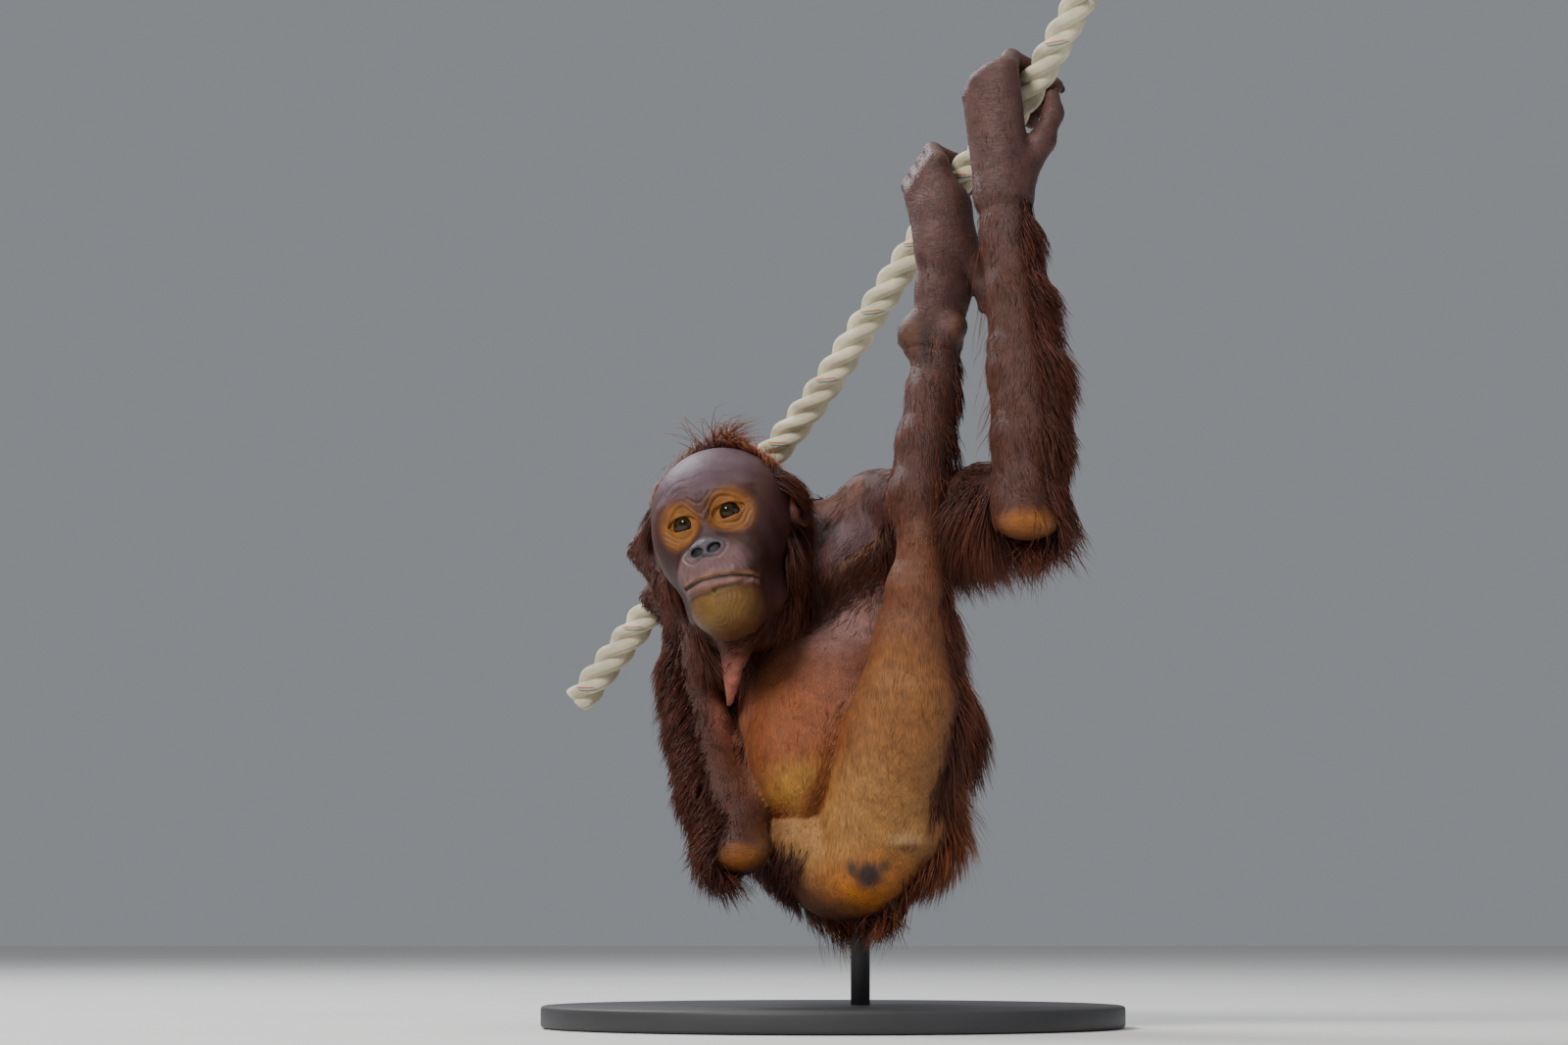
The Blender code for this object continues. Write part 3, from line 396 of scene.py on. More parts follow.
def gripFrame(point, outHint):
    line = ropeSamples(ropeShape["gripSteps"])[0]
    number = int(np.argmin(np.linalg.norm(line - vec(point), axis=1)))
    along = unit(line[min(number + 3, len(line) - 1)] - line[max(number - 3, 0)])
    out = unit(vec(outHint) - along * np.dot(vec(outHint), along))
    return line[number], along, out, np.cross(out, along)


def gripPoint(grip, slide, out, away):
    centre, along, outWay, awayWay = grip
    return centre + (along * slide + outWay * out + awayWay * away) * mm


joint = {  # metres
    "shoulderLeft": (0.040, 0.052, 0.382), "elbowLeft": (0.138, -0.122, 0.379),
    "wristLeft": (0.125, -0.054, 0.606),
    "shoulderRight": (-0.042, 0.100, 0.296), "elbowRight": (-0.070, -0.030, 0.136),
    "hipLeft": (0.031, -0.040, 0.152), "kneeLeft": (0.065, -0.075, 0.349),
    "ankleLeft": (0.077, -0.028, 0.505),
    "hipRight": (-0.012, -0.010, 0.133), "kneeRight": (-0.060, 0.140, 0.194),
    "ankleRight": (-0.047, 0.186, 0.356),
}
rightHand = {"grip": (-0.109, 0.123, 0.351), "back": (-0.686, -0.681, 0.255), "reach": (-0.418, 0.656, 0.628)}
joint["wristRight"] = tuple(
    vec(rightHand["grip"]) + 0.025 * unit(rightHand["back"]) - 0.046 * unit(rightHand["reach"])
)

face = {
    "eyeSpacing": 17.4, "eyeForward": 37.0, "eyeballRadius": 10.2, "lidRadius": 12.0,
    "openingWidth": 23.5, "openingHeight": 11.0,
    "mouthShift": (4.0, 0.6), "mouthTurn": -6.0,  # mm left and up, degrees
}


def mouthFlat(left, up):
    # The mouth sits a little to the left and leans less than the head
    turn = math.radians(face["mouthTurn"])
    sideways, lift = face["mouthShift"]
    up = up + 55.0
    return (left * math.cos(turn) - up * math.sin(turn) + sideways,
            left * math.sin(turn) + up * math.cos(turn) - 55.0 + lift)


def onMouth(left, front, up):
    left, up = mouthFlat(left, up)
    return onHead(left, front, up)


def eyeCentre(side):
    return onHead(side * face["eyeSpacing"], face["eyeForward"], 0)


def headForms():
    forms = [
        headBall(0, -8, 10, (53.5, 57, 53)),
        headBall(0, 8, 12, (44, 43, 41), 14),
        headBall(0, 14, -20, (47, 33, 34), 16),
        headBall(3, 44, -41, (33.5, 29, 25), 13),
        headBall(2, 43, -69, (27.5, 23.5, 23), 10),
        headBall(0, 8, -52, (38, 30, 24), 16),
        headBall(1, 40, -16, (12, 12, 19), 10),
        headBall(1.5, 58, -29, (13, 13, 8), 5),
    ]
    for side in (-1, 1):
        forms += [
            headBall(side * 20, 39, 14.5, (15.5, 6.5, 4.8), 9),
            headBall(side * 37, 25, -3, (8, 12, 15), 12),
            headBall(side * 20.5, 55, -3, (15, 11, 13), 9, True),
            ball(eyeCentre(side), [face["lidRadius"]] * 3, headAxes, 4),
            headBall(side * 8 + 1.5, 61, -31.5, (6.5, 8.8, 6), 3),
        ]
    return forms


def nostrilAxes(side):
    tilt = math.radians(20.0 * side)  # outer ends stand higher
    left = headAxes[0] * math.cos(tilt) + headAxes[2] * math.sin(tilt)
    return np.array([left, headAxes[1], np.cross(left, headAxes[1])])


def faceOpenings():
    openings = []
    for side in (-1, 1):
        openings += [
            cone(onMouth(0, 71, -54.5), onMouth(side * 14, 68, -54.5), 1.15, 1.15, 2.0, carve=True),
            cone(onMouth(side * 14, 68, -54.5), onMouth(side * 27, 56, -55.5), 1.15, 0.9, 2.0, carve=True),
            ball(onHead(side * 6.7 + 1.5, 69.5, -32.0), (5.0, 12.0, 3.4), nostrilAxes(side), 1.6, True),
            ball(eyeCentre(side), [face["eyeballRadius"] + 0.15] * 3, headAxes, 0.3, True),
            slit(onHead(side * (face["eyeSpacing"] + 0.4), face["eyeForward"], 0), side,
                 face["openingWidth"], face["openingHeight"], 1.2),
        ]
    return openings


def lipForms():
    # Soft rolls above and below the mouth line
    rolls = []
    for side in (-1, 1):
        rolls += [
            cone(onMouth(0, 68.2, -51.3), onMouth(side * 13, 65.6, -51.5), 3.2, 3.0, 3.5),
            cone(onMouth(side * 13, 65.6, -51.5), onMouth(side * 24, 56.5, -53), 3.0, 2.0, 3.5),
            cone(onMouth(0, 65.5, -58.3), onMouth(side * 12, 63.0, -58.2), 3.6, 3.3, 3.5),
            cone(onMouth(side * 12, 63.0, -58.2), onMouth(side * 22, 54.5, -57.5), 3.3, 2.0, 3.5),
        ]
    return rolls


def neckForms():
    return [
        cone(onHead(0, -22, -28), (-0.012, 0.078, 0.350), 40, 43, 12),
        cone(onHead(0, 12, -62), (-0.035, 0.030, 0.320), 24, 30, 16),
        cone(onHead(2, 28, -82), (-0.0765, 0.012, 0.238), 16, 2.2, 12, 0.7, (0.2, -1.0, 0.0)),
        cone(onHead(-18, 2, -66), (-0.072, 0.048, 0.262), 20, 17, 12),
    ]


def torsoForms():
    return [
        ball((0.010, 0.058, 0.318), (66, 50, 70), chestAxes),
        ball((0.002, 0.016, 0.226), (66, 60, 78), chestAxes, 24),
        ball((-0.004, 0.004, 0.205), (56, 58, 56), pelvisAxes, 20),
        ball((0.043, 0.056, 0.255), (48, 44, 76), chestAxes, 26),
        cone((0.000, 0.062, 0.345), (0.034, 0.050, 0.377), 38, 34, 20),
        cone((0.000, 0.075, 0.320), (-0.036, 0.096, 0.300), 38, 33, 20),
        cone((0.010, 0.016, 0.338), (0.046, 0.026, 0.366), 24, 20, 14),
        ball((0.034, 0.034, 0.300), (40, 40, 56), chestAxes, 22),
        ball((-0.020, -0.016, 0.186), (36, 40, 40), None, 20),
    ]


def rumpForms():
    return [
        ball((0.034, 0.010, 0.160), (58, 52, 56), pelvisAxes, 14),
        ball((0.047, -0.030, 0.148), (43, 42, 46), pelvisAxes, 18),
        ball((0.006, -0.012, 0.120), (40, 42, 44), pelvisAxes, 18),
        ball((0.024, -0.042, 0.116), (33, 33, 34), None, 14),
        ball((0.054, -0.054, 0.136), (17, 13, 12), None, 10),
    ]


def upperArmForms(side):
    if side == "Left":
        line = [joint["shoulderLeft"], (0.062, 0.014, 0.382), (0.100, -0.056, 0.380), joint["elbowLeft"]]
        return chain(line, [33, 29, 25, 22], 10)
    line = [joint["shoulderRight"], (-0.046, 0.062, 0.250), (-0.054, 0.012, 0.193), joint["elbowRight"]]
    return chain(line, [32, 27, 23, 20], 10)


def forearmForms(side):
    if side == "Left":
        line = [
            joint["elbowLeft"], (0.139, -0.112, 0.424), (0.136, -0.096, 0.474), (0.131, -0.077, 0.534),
            (0.127, -0.062, 0.579), joint["wristLeft"],
        ]
        forms = chain(line, [24, 25, 24, 22.5, 21, 20], 8, 0.9, (0.2, -1.0, 0.1))
        return forms + [ball((0.139, -0.131, 0.364), (22, 13, 11), None, 14)]
    line = [
        joint["elbowRight"], (-0.086, -0.004, 0.178), (-0.097, 0.026, 0.223), (-0.107, 0.056, 0.268),
        joint["wristRight"],
    ]
    forms = chain(line, [21, 21.5, 20, 18.5, 17.5], 8)
    return forms + [ball((-0.068, -0.044, 0.129), (20, 13, 13), None, 14)]


digitTips = []  # filled as the hands and feet are formed, for the nails


def fingers(grip, slides, paths, radii, roots, rootRadii):
    forms = []
    for slide, path, root in zip(slides, paths, roots):
        points = [gripPoint(grip, slide, *place) for place in path]
        forms.append(cone(root, points[0], rootRadii[0], rootRadii[1], 9))
        forms += chain(points, radii, 2.5)
        digitTips.append((points[-2], points[-1], radii[-1], grip))
    return forms


def thumb(points, radii, blend, grip):
    digitTips.append((vec(points[-2]), vec(points[-1]), radii[-1], grip))
    return chain(points, radii, blend)


def handForms(side):
    if side == "Left":
        grip = gripFrame((0.135, -0.020, 0.695), (-0.8, 0.0, 0.6))
        row = ((-18.0, 30.0, 0.88), (-6.5, 32.0, 1.0), (5.0, 28.0, 1.0), (14.5, 22.0, 0.95))
        paths = [
            [(out, -25.0), (25.0, 9.0 * long), (5.0, 22.5 * long), (-14.5 * long, 16.0)]
            for _, out, long in row
        ]
        roots = [vec(joint["wristLeft"]) + vec((0.007 * (k - 1.5), 0.0, 0.004)) for k in range(4)]
        forms = fingers(grip, [slide for slide, _, _ in row], paths, [8.2, 7.2, 6.5, 5.6], roots, (10.5, 8.4))
        forms.append(cone(joint["wristLeft"], gripPoint(grip, 2, 20, -24), 17, 11, 8))
        line = [
            (0.137, -0.052, 0.622), (0.154, -0.048, 0.650), (0.162, -0.043, 0.671), (0.162, -0.038, 0.684),
        ]
        return forms + thumb(line, [11.5, 8.5, 6.8, 5.4], 7, grip)
    grip = gripFrame(rightHand["grip"], unit(rightHand["back"]))
    turn = 1.0 if np.dot(unit(rightHand["reach"]), grip[3]) > 0 else -1.0
    slides = [(k - 1.5) * 10.5 for k in range(4)]
    paths = [[(24.0, 22.0 * turn), (-2.0, 30.0 * turn), (-22.0, 14.0 * turn), (-19.5, -8.0 * turn)]] * 4
    wrist = vec(joint["wristRight"])
    roots = [wrist + grip[1] * (0.0075 * (k - 1.5)) for k in range(4)]
    forms = fingers(grip, slides, paths, [8.4, 7.3, 6.6, 5.4], roots, (10.5, 8.6))
    line = [wrist - grip[1] * 0.010]
    places = ((-30, 20, -16), (-36, 4, -21), (-34, -12, -19))
    line += [gripPoint(grip, slide, out, away * turn) for slide, out, away in places]
    return forms + thumb(line, [11, 8.5, 6.8, 5.2], 7, grip)


def footForms(side):
    if side == "Left":
        grip = gripFrame((0.083, 0.010, 0.630), (-0.8, 0.0, 0.6))
        line = [joint["ankleLeft"], (0.081, -0.023, 0.540), (0.085, -0.020, 0.576), (0.084, -0.018, 0.604)]
        forms = chain(line, [18.5, 19.5, 20.5, 20], 8, 0.68, (0.25, -1.0, 0.1))
        arch = mixed(joint["ankleLeft"], (0.085, -0.020, 0.576), 0.9)
        slides = [(k - 1.5) * 10.0 - 4.0 for k in range(4)]
        paths = [[(19.0, -22.0), (28.0, 3.0), (11.0, 22.5), (-9.0, 19.5)]] * 4
        roots = [arch + vec((0.008 * (k - 1.5), 0.0, 0.0)) for k in range(4)]
        forms += fingers(grip, slides, paths, [8.2, 7.2, 6.4, 5.2], roots, (10, 8.3))
        forms.append(ball((0.060, -0.030, 0.508), (12.5, 14, 15), None, 12))
        forms.append(ball((0.090, -0.038, 0.514), (9, 9, 10), None, 8))
        line = [
            (0.093, -0.020, 0.575), (0.106, -0.020, 0.560), (0.113, -0.020, 0.545), (0.112, -0.018, 0.530),
        ]
        return forms + thumb(line, [10, 7.5, 6.2, 4.8], 8, grip)
    grip = gripFrame((-0.066, 0.100, 0.406), (0.19, 0.947, 0.253))
    turn = 1.0 if np.dot(vec((-0.8, 0.0, 0.6)), grip[3]) > 0 else -1.0
    ankle, pad = vec(joint["ankleRight"]), gripPoint(grip, 0, 25, 6 * turn)
    forms = chain([ankle, mixed(ankle, pad, 0.5), pad], [18, 18, 18], 8, 0.75, grip[2])
    slides = [(k - 1.5) * 10.0 for k in range(4)]
    paths = [[(20.0, 22.0 * turn), (-2.0, 29.0 * turn), (-20.0, 12.0 * turn), (-19.0, -7.0 * turn)]] * 4
    forms += fingers(grip, slides, paths, [8.2, 7.2, 6.4, 5.2], [mixed(ankle, pad, 0.7)] * 4, (10, 8.3))
    forms.append(ball(ankle - 0.010 * unit(pad - ankle) + grip[2] * 0.008, (14, 14, 14), None, 10))
    line = [mixed(ankle, pad, 0.55)]
    places = ((-26, 22, -14), (-30, 6, -21), (-29, -9, -19))
    line += [gripPoint(grip, slide, out, away * turn) for slide, out, away in places]
    return forms + thumb(line, [11, 8, 6.5, 5], 8, grip)


def thighForms(side):
    if side == "Left":
        line = [
            joint["hipLeft"], (0.041, -0.048, 0.185), (0.050, -0.058, 0.212), (0.0565, -0.063, 0.238),
            (0.058, -0.070, 0.279), (0.0605, -0.075, 0.318), joint["kneeLeft"],
        ]
        return chain(line, [41, 41, 41, 38.5, 28.5, 21, 16.5], 10)
    return chain([joint["hipRight"], (-0.028, 0.040, 0.150), (-0.044, 0.092, 0.170), joint["kneeRight"]],
                 [40, 36, 28, 20], 10)


def shankForms(side):
    if side == "Left":
        line = [joint["kneeLeft"], (0.062, -0.066, 0.386), (0.067, -0.055, 0.426), (0.073, -0.042, 0.464),
                joint["ankleLeft"]]
        return chain(line, [17, 21.5, 20, 18.5, 16.5], 8)
    return chain([joint["kneeRight"], (-0.058, 0.160, 0.240), (-0.054, 0.172, 0.290), joint["ankleRight"]],
                 [20, 22, 19, 16], 8)


def earForms(side):
    sideWay = headAxes[0] * side
    across = unit(0.50 * sideWay - 0.87 * headAxes[1])
    outward = unit(0.87 * sideWay + 0.50 * headAxes[1])
    axes = np.array([outward, across, headAxes[2]])
    centre = onHead(side * 57.5, -11, 3)
    return [
        ball(centre, (4.2, 10.5, 15.5), axes, 2),
        ball(onHead(side * 51, -7, -1), (9, 8, 9), axes, 3),
        ball(centre + outward * 0.0042, (3.2, 7.2, 11.5), axes, 1.5, True),
        ball(centre - across * 0.004 + outward * 0.002 - headAxes[2] * 0.004, (2.8, 3.2, 4.5), axes, 1, True),
    ]


bodyParts = {
    "head": headForms() + lipForms(), "neck": neckForms(), "torso": torsoForms(), "rump": rumpForms(),
    "upperArmLeft": upperArmForms("Left"), "upperArmRight": upperArmForms("Right"),
    "forearmLeft": forearmForms("Left"), "forearmRight": forearmForms("Right"),
    "thighLeft": thighForms("Left"), "thighRight": thighForms("Right"),
    "shankLeft": shankForms("Left"), "shankRight": shankForms("Right"),
    "handLeft": handForms("Left"), "handRight": handForms("Right"),
    "footLeft": footForms("Left"), "footRight": footForms("Right"),
    "earLeft": earForms(1), "earRight": earForms(-1),
}


skinShape = {
    # spacing of the surface points, in metres
    "bodyStep": 0.0024, "faceStep": 0.00092, "earStep": 0.0009, "gripStep": 0.00145,
    "tuck": 0.0022,  # how far the coarser layer slips under the finer one
}


def limbBound(forms):
    return np.min([form["low"] for form in forms], 0), np.max([form["high"] for form in forms], 0)


def formSkin(name, forms, step, bound, trim=None):
    # One closed layer of skin round the forms
    low, high = vec(bound[0]) - 4 * step, vec(bound[1]) + 4 * step
    values, low = fieldGrid(forms, low, high, step)
    if trim is not None:
        lines = [low[k] + step * np.arange(values.shape[k]) for k in range(3)]
        for x in range(values.shape[0]):  # one slice at a time keeps the memory small
            grid = np.stack(np.meshgrid(lines[0][x:x + 1], lines[1], lines[2], indexing="ij"), -1)
            values[x] = trim(grid.reshape(-1, 3), values[x].reshape(-1)).reshape(values[x].shape)
    values[0], values[-1] = 1.0, 1.0
    values[:, 0], values[:, -1] = 1.0, 1.0
    values[:, :, 0], values[:, :, -1] = 1.0, 1.0
    points, faces = netSurface(values, low, step)
    thing = meshObject(name, points, faces)
    report("%s: %d faces" % (name, len(faces)))
    return thing


faceEdge = -4.0  # mm in head axes, where the finer face layer begins
wristCuts = {
    # end, the joint that it closes on, the way that leads to the fingers, distance past the joint in metres
    "handLeft": (joint["wristLeft"], (-0.05, 0.30, 0.95), -0.012),
    "handRight": (joint["wristRight"], rightHand["reach"], -0.012),
    "footLeft": (joint["ankleLeft"], (0.06, 0.10, 0.99), -0.014),
    "footRight": (joint["ankleRight"], (-0.1, -0.6, 0.75), -0.026),
}
fineReach = {"handLeft": 0.13, "handRight": 0.13, "footLeft": 0.17, "footRight": 0.13}


def pastCut(name, points):
    centre, way, offset = wristCuts[name]
    return (points - vec(centre)) @ unit(way) - offset


def trimFace(points, values):
    local = toHead(points)
    front = local[:, 1] - faceEdge
    tuck = skinShape["tuck"] * (1.0 - smooth(0.0, 7.0, front) * smooth(-109.0, -101.0, local[:, 2]))
    return np.maximum(values + tuck, -front * mm)


def trimGrip(name):
    def trim(points, values):
        past = pastCut(name, points)
        tuck = skinShape["tuck"] * (1.0 - smooth(0.0, 0.009, past))
        return np.maximum(values + tuck, -past)
    return trim


def trimBody(points, values):
    local = toHead(points)
    nearHead = np.linalg.norm(local - vec((0, 20, -15)), axis=1) < 125
    under = smooth(1.0, 9.0, local[:, 1] - faceEdge) * nearHead * smooth(-107.0, -99.0, local[:, 2])
    for name in wristCuts:
        middle = vec(wristCuts[name][0])
        near = np.linalg.norm(points - middle, axis=1) < fineReach[name]
        under = np.maximum(under, smooth(0.001, 0.010, pastCut(name, points)) * near)
    return values + skinShape["tuck"] * under


def wholeBody():
    # Limbs that lie close to each other but aren't joined there meet in a crease
    parts = bodyParts
    shoulders = parts["upperArmRight"][:2] + parts["upperArmLeft"][:2]
    trunk = parts["torso"] + parts["neck"] + parts["head"] + shoulders
    return [
        joined(trunk), joined(parts["rump"] + parts["thighLeft"] + parts["shankLeft"] + parts["footLeft"], 4),
        joined(parts["rump"] + parts["thighRight"] + parts["shankRight"] + parts["footRight"], 4),
        joined(parts["upperArmLeft"] + parts["forearmLeft"] + parts["handLeft"], 2),
        joined(parts["upperArmRight"] + parts["forearmRight"] + parts["handRight"], 2),
    ]


def joinSkins(layers):
    skin = layers[0]
    group = bpy.data.collections.new("layers")
    for layer in layers[1:]:
        group.objects.link(layer)
    modifier = skin.modifiers.new("join", "BOOLEAN")
    modifier.operation = "UNION"
    modifier.solver = "MANIFOLD"
    modifier.operand_type = "COLLECTION"
    modifier.collection = group
    depsgraph = bpy.context.evaluated_depsgraph_get()
    whole = bpy.data.meshes.new_from_object(skin.evaluated_get(depsgraph))
    skin.modifiers.clear()
    skin.data = whole
    for layer in layers[1:]:
        bpy.data.objects.remove(layer, do_unlink=True)
    bpy.data.collections.remove(group)
    return skin


def buildSkin():
    forms = wholeBody()
    layers = [formSkin("bodyLayer", forms, skinShape["bodyStep"], limbBound(forms), trimBody)]
    faceForms = bodyParts["head"] + bodyParts["neck"] + faceOpenings()
    low, high = limbBound(bodyParts["head"])
    low = low - vec((0, 0, 0.018))
    layers.append(formSkin("faceLayer", faceForms, skinShape["faceStep"], (low, high), trimFace))
    for side in ("Left", "Right"):
        ear = bodyParts["ear" + side]
        layers.append(formSkin("earLayer" + side, ear, skinShape["earStep"], limbBound(ear)))
    for name in wristCuts:
        lower = name.replace("hand", "forearm").replace("foot", "shank")
        forms = bodyParts[lower][1:] + bodyParts[name]
        bound = limbBound(bodyParts[name])
        layers.append(formSkin(name + "Layer", forms, skinShape["gripStep"], bound, trimGrip(name)))
    skin = joinSkins(layers)
    skin.name = "skin"
    skin.data.polygons.foreach_set("use_smooth", np.ones(len(skin.data.polygons), dtype=bool))
    report("skin joined: %d faces" % len(skin.data.polygons))
    return skin


def readPoints(thing):
    mesh = thing.data
    points = np.empty(len(mesh.vertices) * 3, dtype=np.float32)
    mesh.vertices.foreach_get("co", points)
    normals = np.empty(len(mesh.vertices) * 3, dtype=np.float32)
    mesh.vertex_normals.foreach_get("vector", normals)
    return points.reshape(-1, 3).astype(float), normals.reshape(-1, 3).astype(float)


def partOf(points):
    # The name of the body part whose form lies nearest to each point
    names = list(bodyParts)
    nearest, owner = np.full(len(points), 9.0), np.zeros(len(points), dtype=int)
    for number, name in enumerate(names):
        low, high = limbBound(bodyParts[name])
        near = np.all((points > low - 0.02) & (points < high + 0.02), axis=1)
        if near.any():
            value = blended([form for form in bodyParts[name] if not form["carve"]], points[near])
            closer = value < nearest[near]
            spots = np.flatnonzero(near)[closer]
            nearest[spots] = value[closer]
            owner[spots] = number
    return np.array(names)[owner]


faceLines = [
    # points as (left, up) in mm on the left half of the face, depth and width in mm
    ([(30, 0), (26, 8), (17.4, 11.8), (10.4, 9), (6, 2)], 0.75, 0.8),
    ([(33, 5), (27, 12.5), (17.4, 16), (9.5, 13), (4.8, 6)], 0.32, 0.9),
    ([(31, -2), (25, -9), (17.4, -11), (10.6, -9), (6, -3)], 0.6, 0.8),
    ([(34, -4), (26, -13), (17, -15), (9.5, -12), (5, -6)], 0.5, 0.9),
    ([(34, -9), (26, -17), (16.5, -19), (9.5, -15.5)], 0.35, 0.9),
    ([(0, 2), (4, 4.5), (7, 9)], 0.45, 0.9), ([(0, -4), (3.5, -2), (6.5, 2)], 0.45, 0.9),
    ([(0, 10), (4, 11.5), (9, 15)], 0.4, 1.0), ([(1.5, 4), (2.5, 10), (2, 17)], 0.35, 0.9),
    ([(3, 23), (12, 25), (22, 22)], 0.16, 1.0), ([(0, 30), (10, 31.5), (24, 28)], 0.14, 1.1),
    ([(13, -20), (18, -27), (24, -34), (30, -43), (33, -54), (32, -64)], 0.3, 1.5),
    ([(12, -18), (24, -25), (34, -37), (37, -54), (34, -70), (25, -86)], 0.8, 5.5),
    ([(9, -22), (14, -26), (17, -32), (14, -37.5), (7, -39), (0, -37.5)], 0.9, 1.1),
    ([(2, -40), (2.5, -44), (2.5, -49)], 0.3, 0.7), ([(6, -41), (7, -45), (7, -49.5)], 0.3, 0.7),
    ([(10, -41), (11.5, -45), (12, -50)], 0.35, 0.7), ([(14, -41), (16, -45), (17, -50)], 0.35, 0.7),
    ([(18, -42), (21, -46), (22, -51)], 0.35, 0.7), ([(22, -43), (25, -48), (26, -53)], 0.35, 0.7),
    ([(0, -62.5), (9, -62.8), (18, -61.5), (26, -59)], 0.8, 1.3),
    ([(29, -52), (31, -57), (29, -63)], 0.7, 1.2),
]
chinSwirl = {
    "centre": (-7.0, -66.0), "pitch": 3.1, "depth": 0.17, "reach": (27.0, 17.0), "middle": (0.0, -75.0),
}


def rounded(line):
    # Cuts the corners of a line twice so that it bends softly
    line = vec(line)
    for _ in range(2):
        before, after = line[:-1], line[1:]
        cut = np.stack([0.75 * before + 0.25 * after, 0.25 * before + 0.75 * after], 1).reshape(-1, 2)
        line = np.concatenate([line[:1], cut, line[-1:]])
    return line


def nearLine(points, line):
    best = np.full(len(points), 99.0)
    for k in range(len(line) - 1):
        start, along = vec(line[k]), vec(line[k + 1]) - vec(line[k])
        share = np.clip((points - start) @ along / np.dot(along, along), 0.0, 1.0)
        best = np.minimum(best, np.linalg.norm(points - start - share[:, None] * along, axis=1))
    return best


def pressFaceLines(points, normals):
    # Returns the creased points and how deep each one is pressed, for the painted shade in the folds
    local = toHead(points)
    facing = normals @ headAxes[1]
    within = (np.abs(local[:, 0]) < 46) & (np.abs(local[:, 2]) < 95)
    spots = np.flatnonzero((local[:, 1] > 12) & (facing > 0.05) & within)
    across, lift = local[spots, 0], local[spots, 2]
    # Each half keeps its own slight waver so that the sides aren't mirror images
    flat = np.stack([
        across + 0.8 * np.sin(lift * 0.31 + across * 0.11),
        lift + 0.8 * np.sin(across * 0.27 + 1.0 + lift * 0.07),
    ], -1)
    press = np.zeros(len(spots))
    pupils = [vec((side * face["eyeSpacing"], 44, 0)) for side in (-1, 1)]
    eyeHold = np.minimum.reduce([np.linalg.norm(local[spots] - pupil, axis=1) for pupil in pupils])
    for line, depth, width in faceLines:
        for side in (-1, 1):
            away = nearLine(flat, rounded(line) * vec((side, 1)))
            press -= depth * np.exp(-(away / width) ** 2)
            press += 0.35 * depth * np.exp(-((away - 2.1 * width) / (1.1 * width)) ** 2)
    turn = flat - vec(chinSwirl["centre"])
    angle = np.arctan2(turn[:, 1], turn[:, 0])
    reach = np.linalg.norm(turn, axis=1) + 1.6 * np.sin(2 * angle + 0.12 * turn[:, 0])
    inside = np.linalg.norm((flat - vec(chinSwirl["middle"])) / vec(chinSwirl["reach"]), axis=1)
    rings = np.sin(2 * math.pi * reach / chinSwirl["pitch"]) - 0.4
    press += chinSwirl["depth"] * rings * (1 - smooth(0.55, 1.0, inside)) * (reach > 2)
    press *= smooth(0.05, 0.45, facing[spots]) * smooth(6.5, 9.5, eyeHold)
    points[spots] += normals[spots] * (press * mm)[:, None]
    depth = np.zeros(len(points))
    depth[spots] = np.clip(-press, 0, 1.6)
    return points, depth


hairyLimbs = ["shankLeft", "shankRight", "forearmLeft", "forearmRight", "upperArmLeft", "upperArmRight"]
skinTones = {
    "body": shade(110, 68, 46), "hand": shade(84, 56, 51), "limb": shade(76, 44, 34),
    "knee": shade(100, 60, 40), "face": shade(72, 42, 36),
    "forehead": shade(82, 60, 70), "eyeRing": shade(138, 86, 30), "betweenEyes": shade(76, 46, 34),
    "cheek": shade(54, 27, 23), "noseBridge": shade(64, 50, 54), "nose": shade(72, 63, 72),
    "upperLip": shade(114, 86, 86), "lipEdge": shade(152, 106, 66), "lipPink": shade(132, 94, 88),
    # The throat tone is pink skin brightened with painted sunlight
    "chin": shade(108, 78, 30), "chinEdge": shade(92, 60, 34), "throat": shade(206, 130, 112),
    "ear": shade(88, 46, 34), "callus": shade(142, 86, 34), "heel": shade(92, 60, 44),
    # Painted shade, on the next line: near black for the nostrils and the mouth line, a dark red for the
    # ear's hollow, and dark brown for the skin under the coat
    "nostril": shade(7, 4, 5), "earDeep": shade(48, 21, 17), "shadeUnderCoat": shade(50, 26, 19),
}
facePatches = [
    # place as (left, front, up) in mm, reach in mm, softness, colour, strength
    ((0, 30, 45), (46, 60, 30), 0.5, "forehead", 1.0),
    ((36, 26, -28), (16, 40, 30), 0.5, "cheek", 0.9), ((-36, 26, -28), (16, 40, 30), 0.5, "cheek", 0.9),
    ((18.8, 44, -1.5), (17, 22, 17.5), 0.3, "eyeRing", 0.9),
    ((-18.8, 44, -1.5), (17, 22, 17.5), 0.3, "eyeRing", 0.9),
    ((0, 50, 4), (4.5, 20, 13), 0.6, "betweenEyes", 0.8),
    ((1, 58, -20), (18, 18, 8), 0.5, "noseBridge", 0.85),
    ((3, 66, -43), (30, 24, 13), 0.3, "upperLip", 0.95),
    ((1.5, 65, -31), (15, 15, 8.5), 0.3, "nose", 1.0),
    ((2, 56, -76), (29, 32, 21), 0.35, "chinEdge", 0.9),
    ((2, 60, -74), (23, 28, 15), 0.45, "chin", 0.9),
    # Pink throat skin, brightened with painted sunlight
    ((0, 38, -116), (20, 30, 12), 0.5, "throat", 0.8),
]
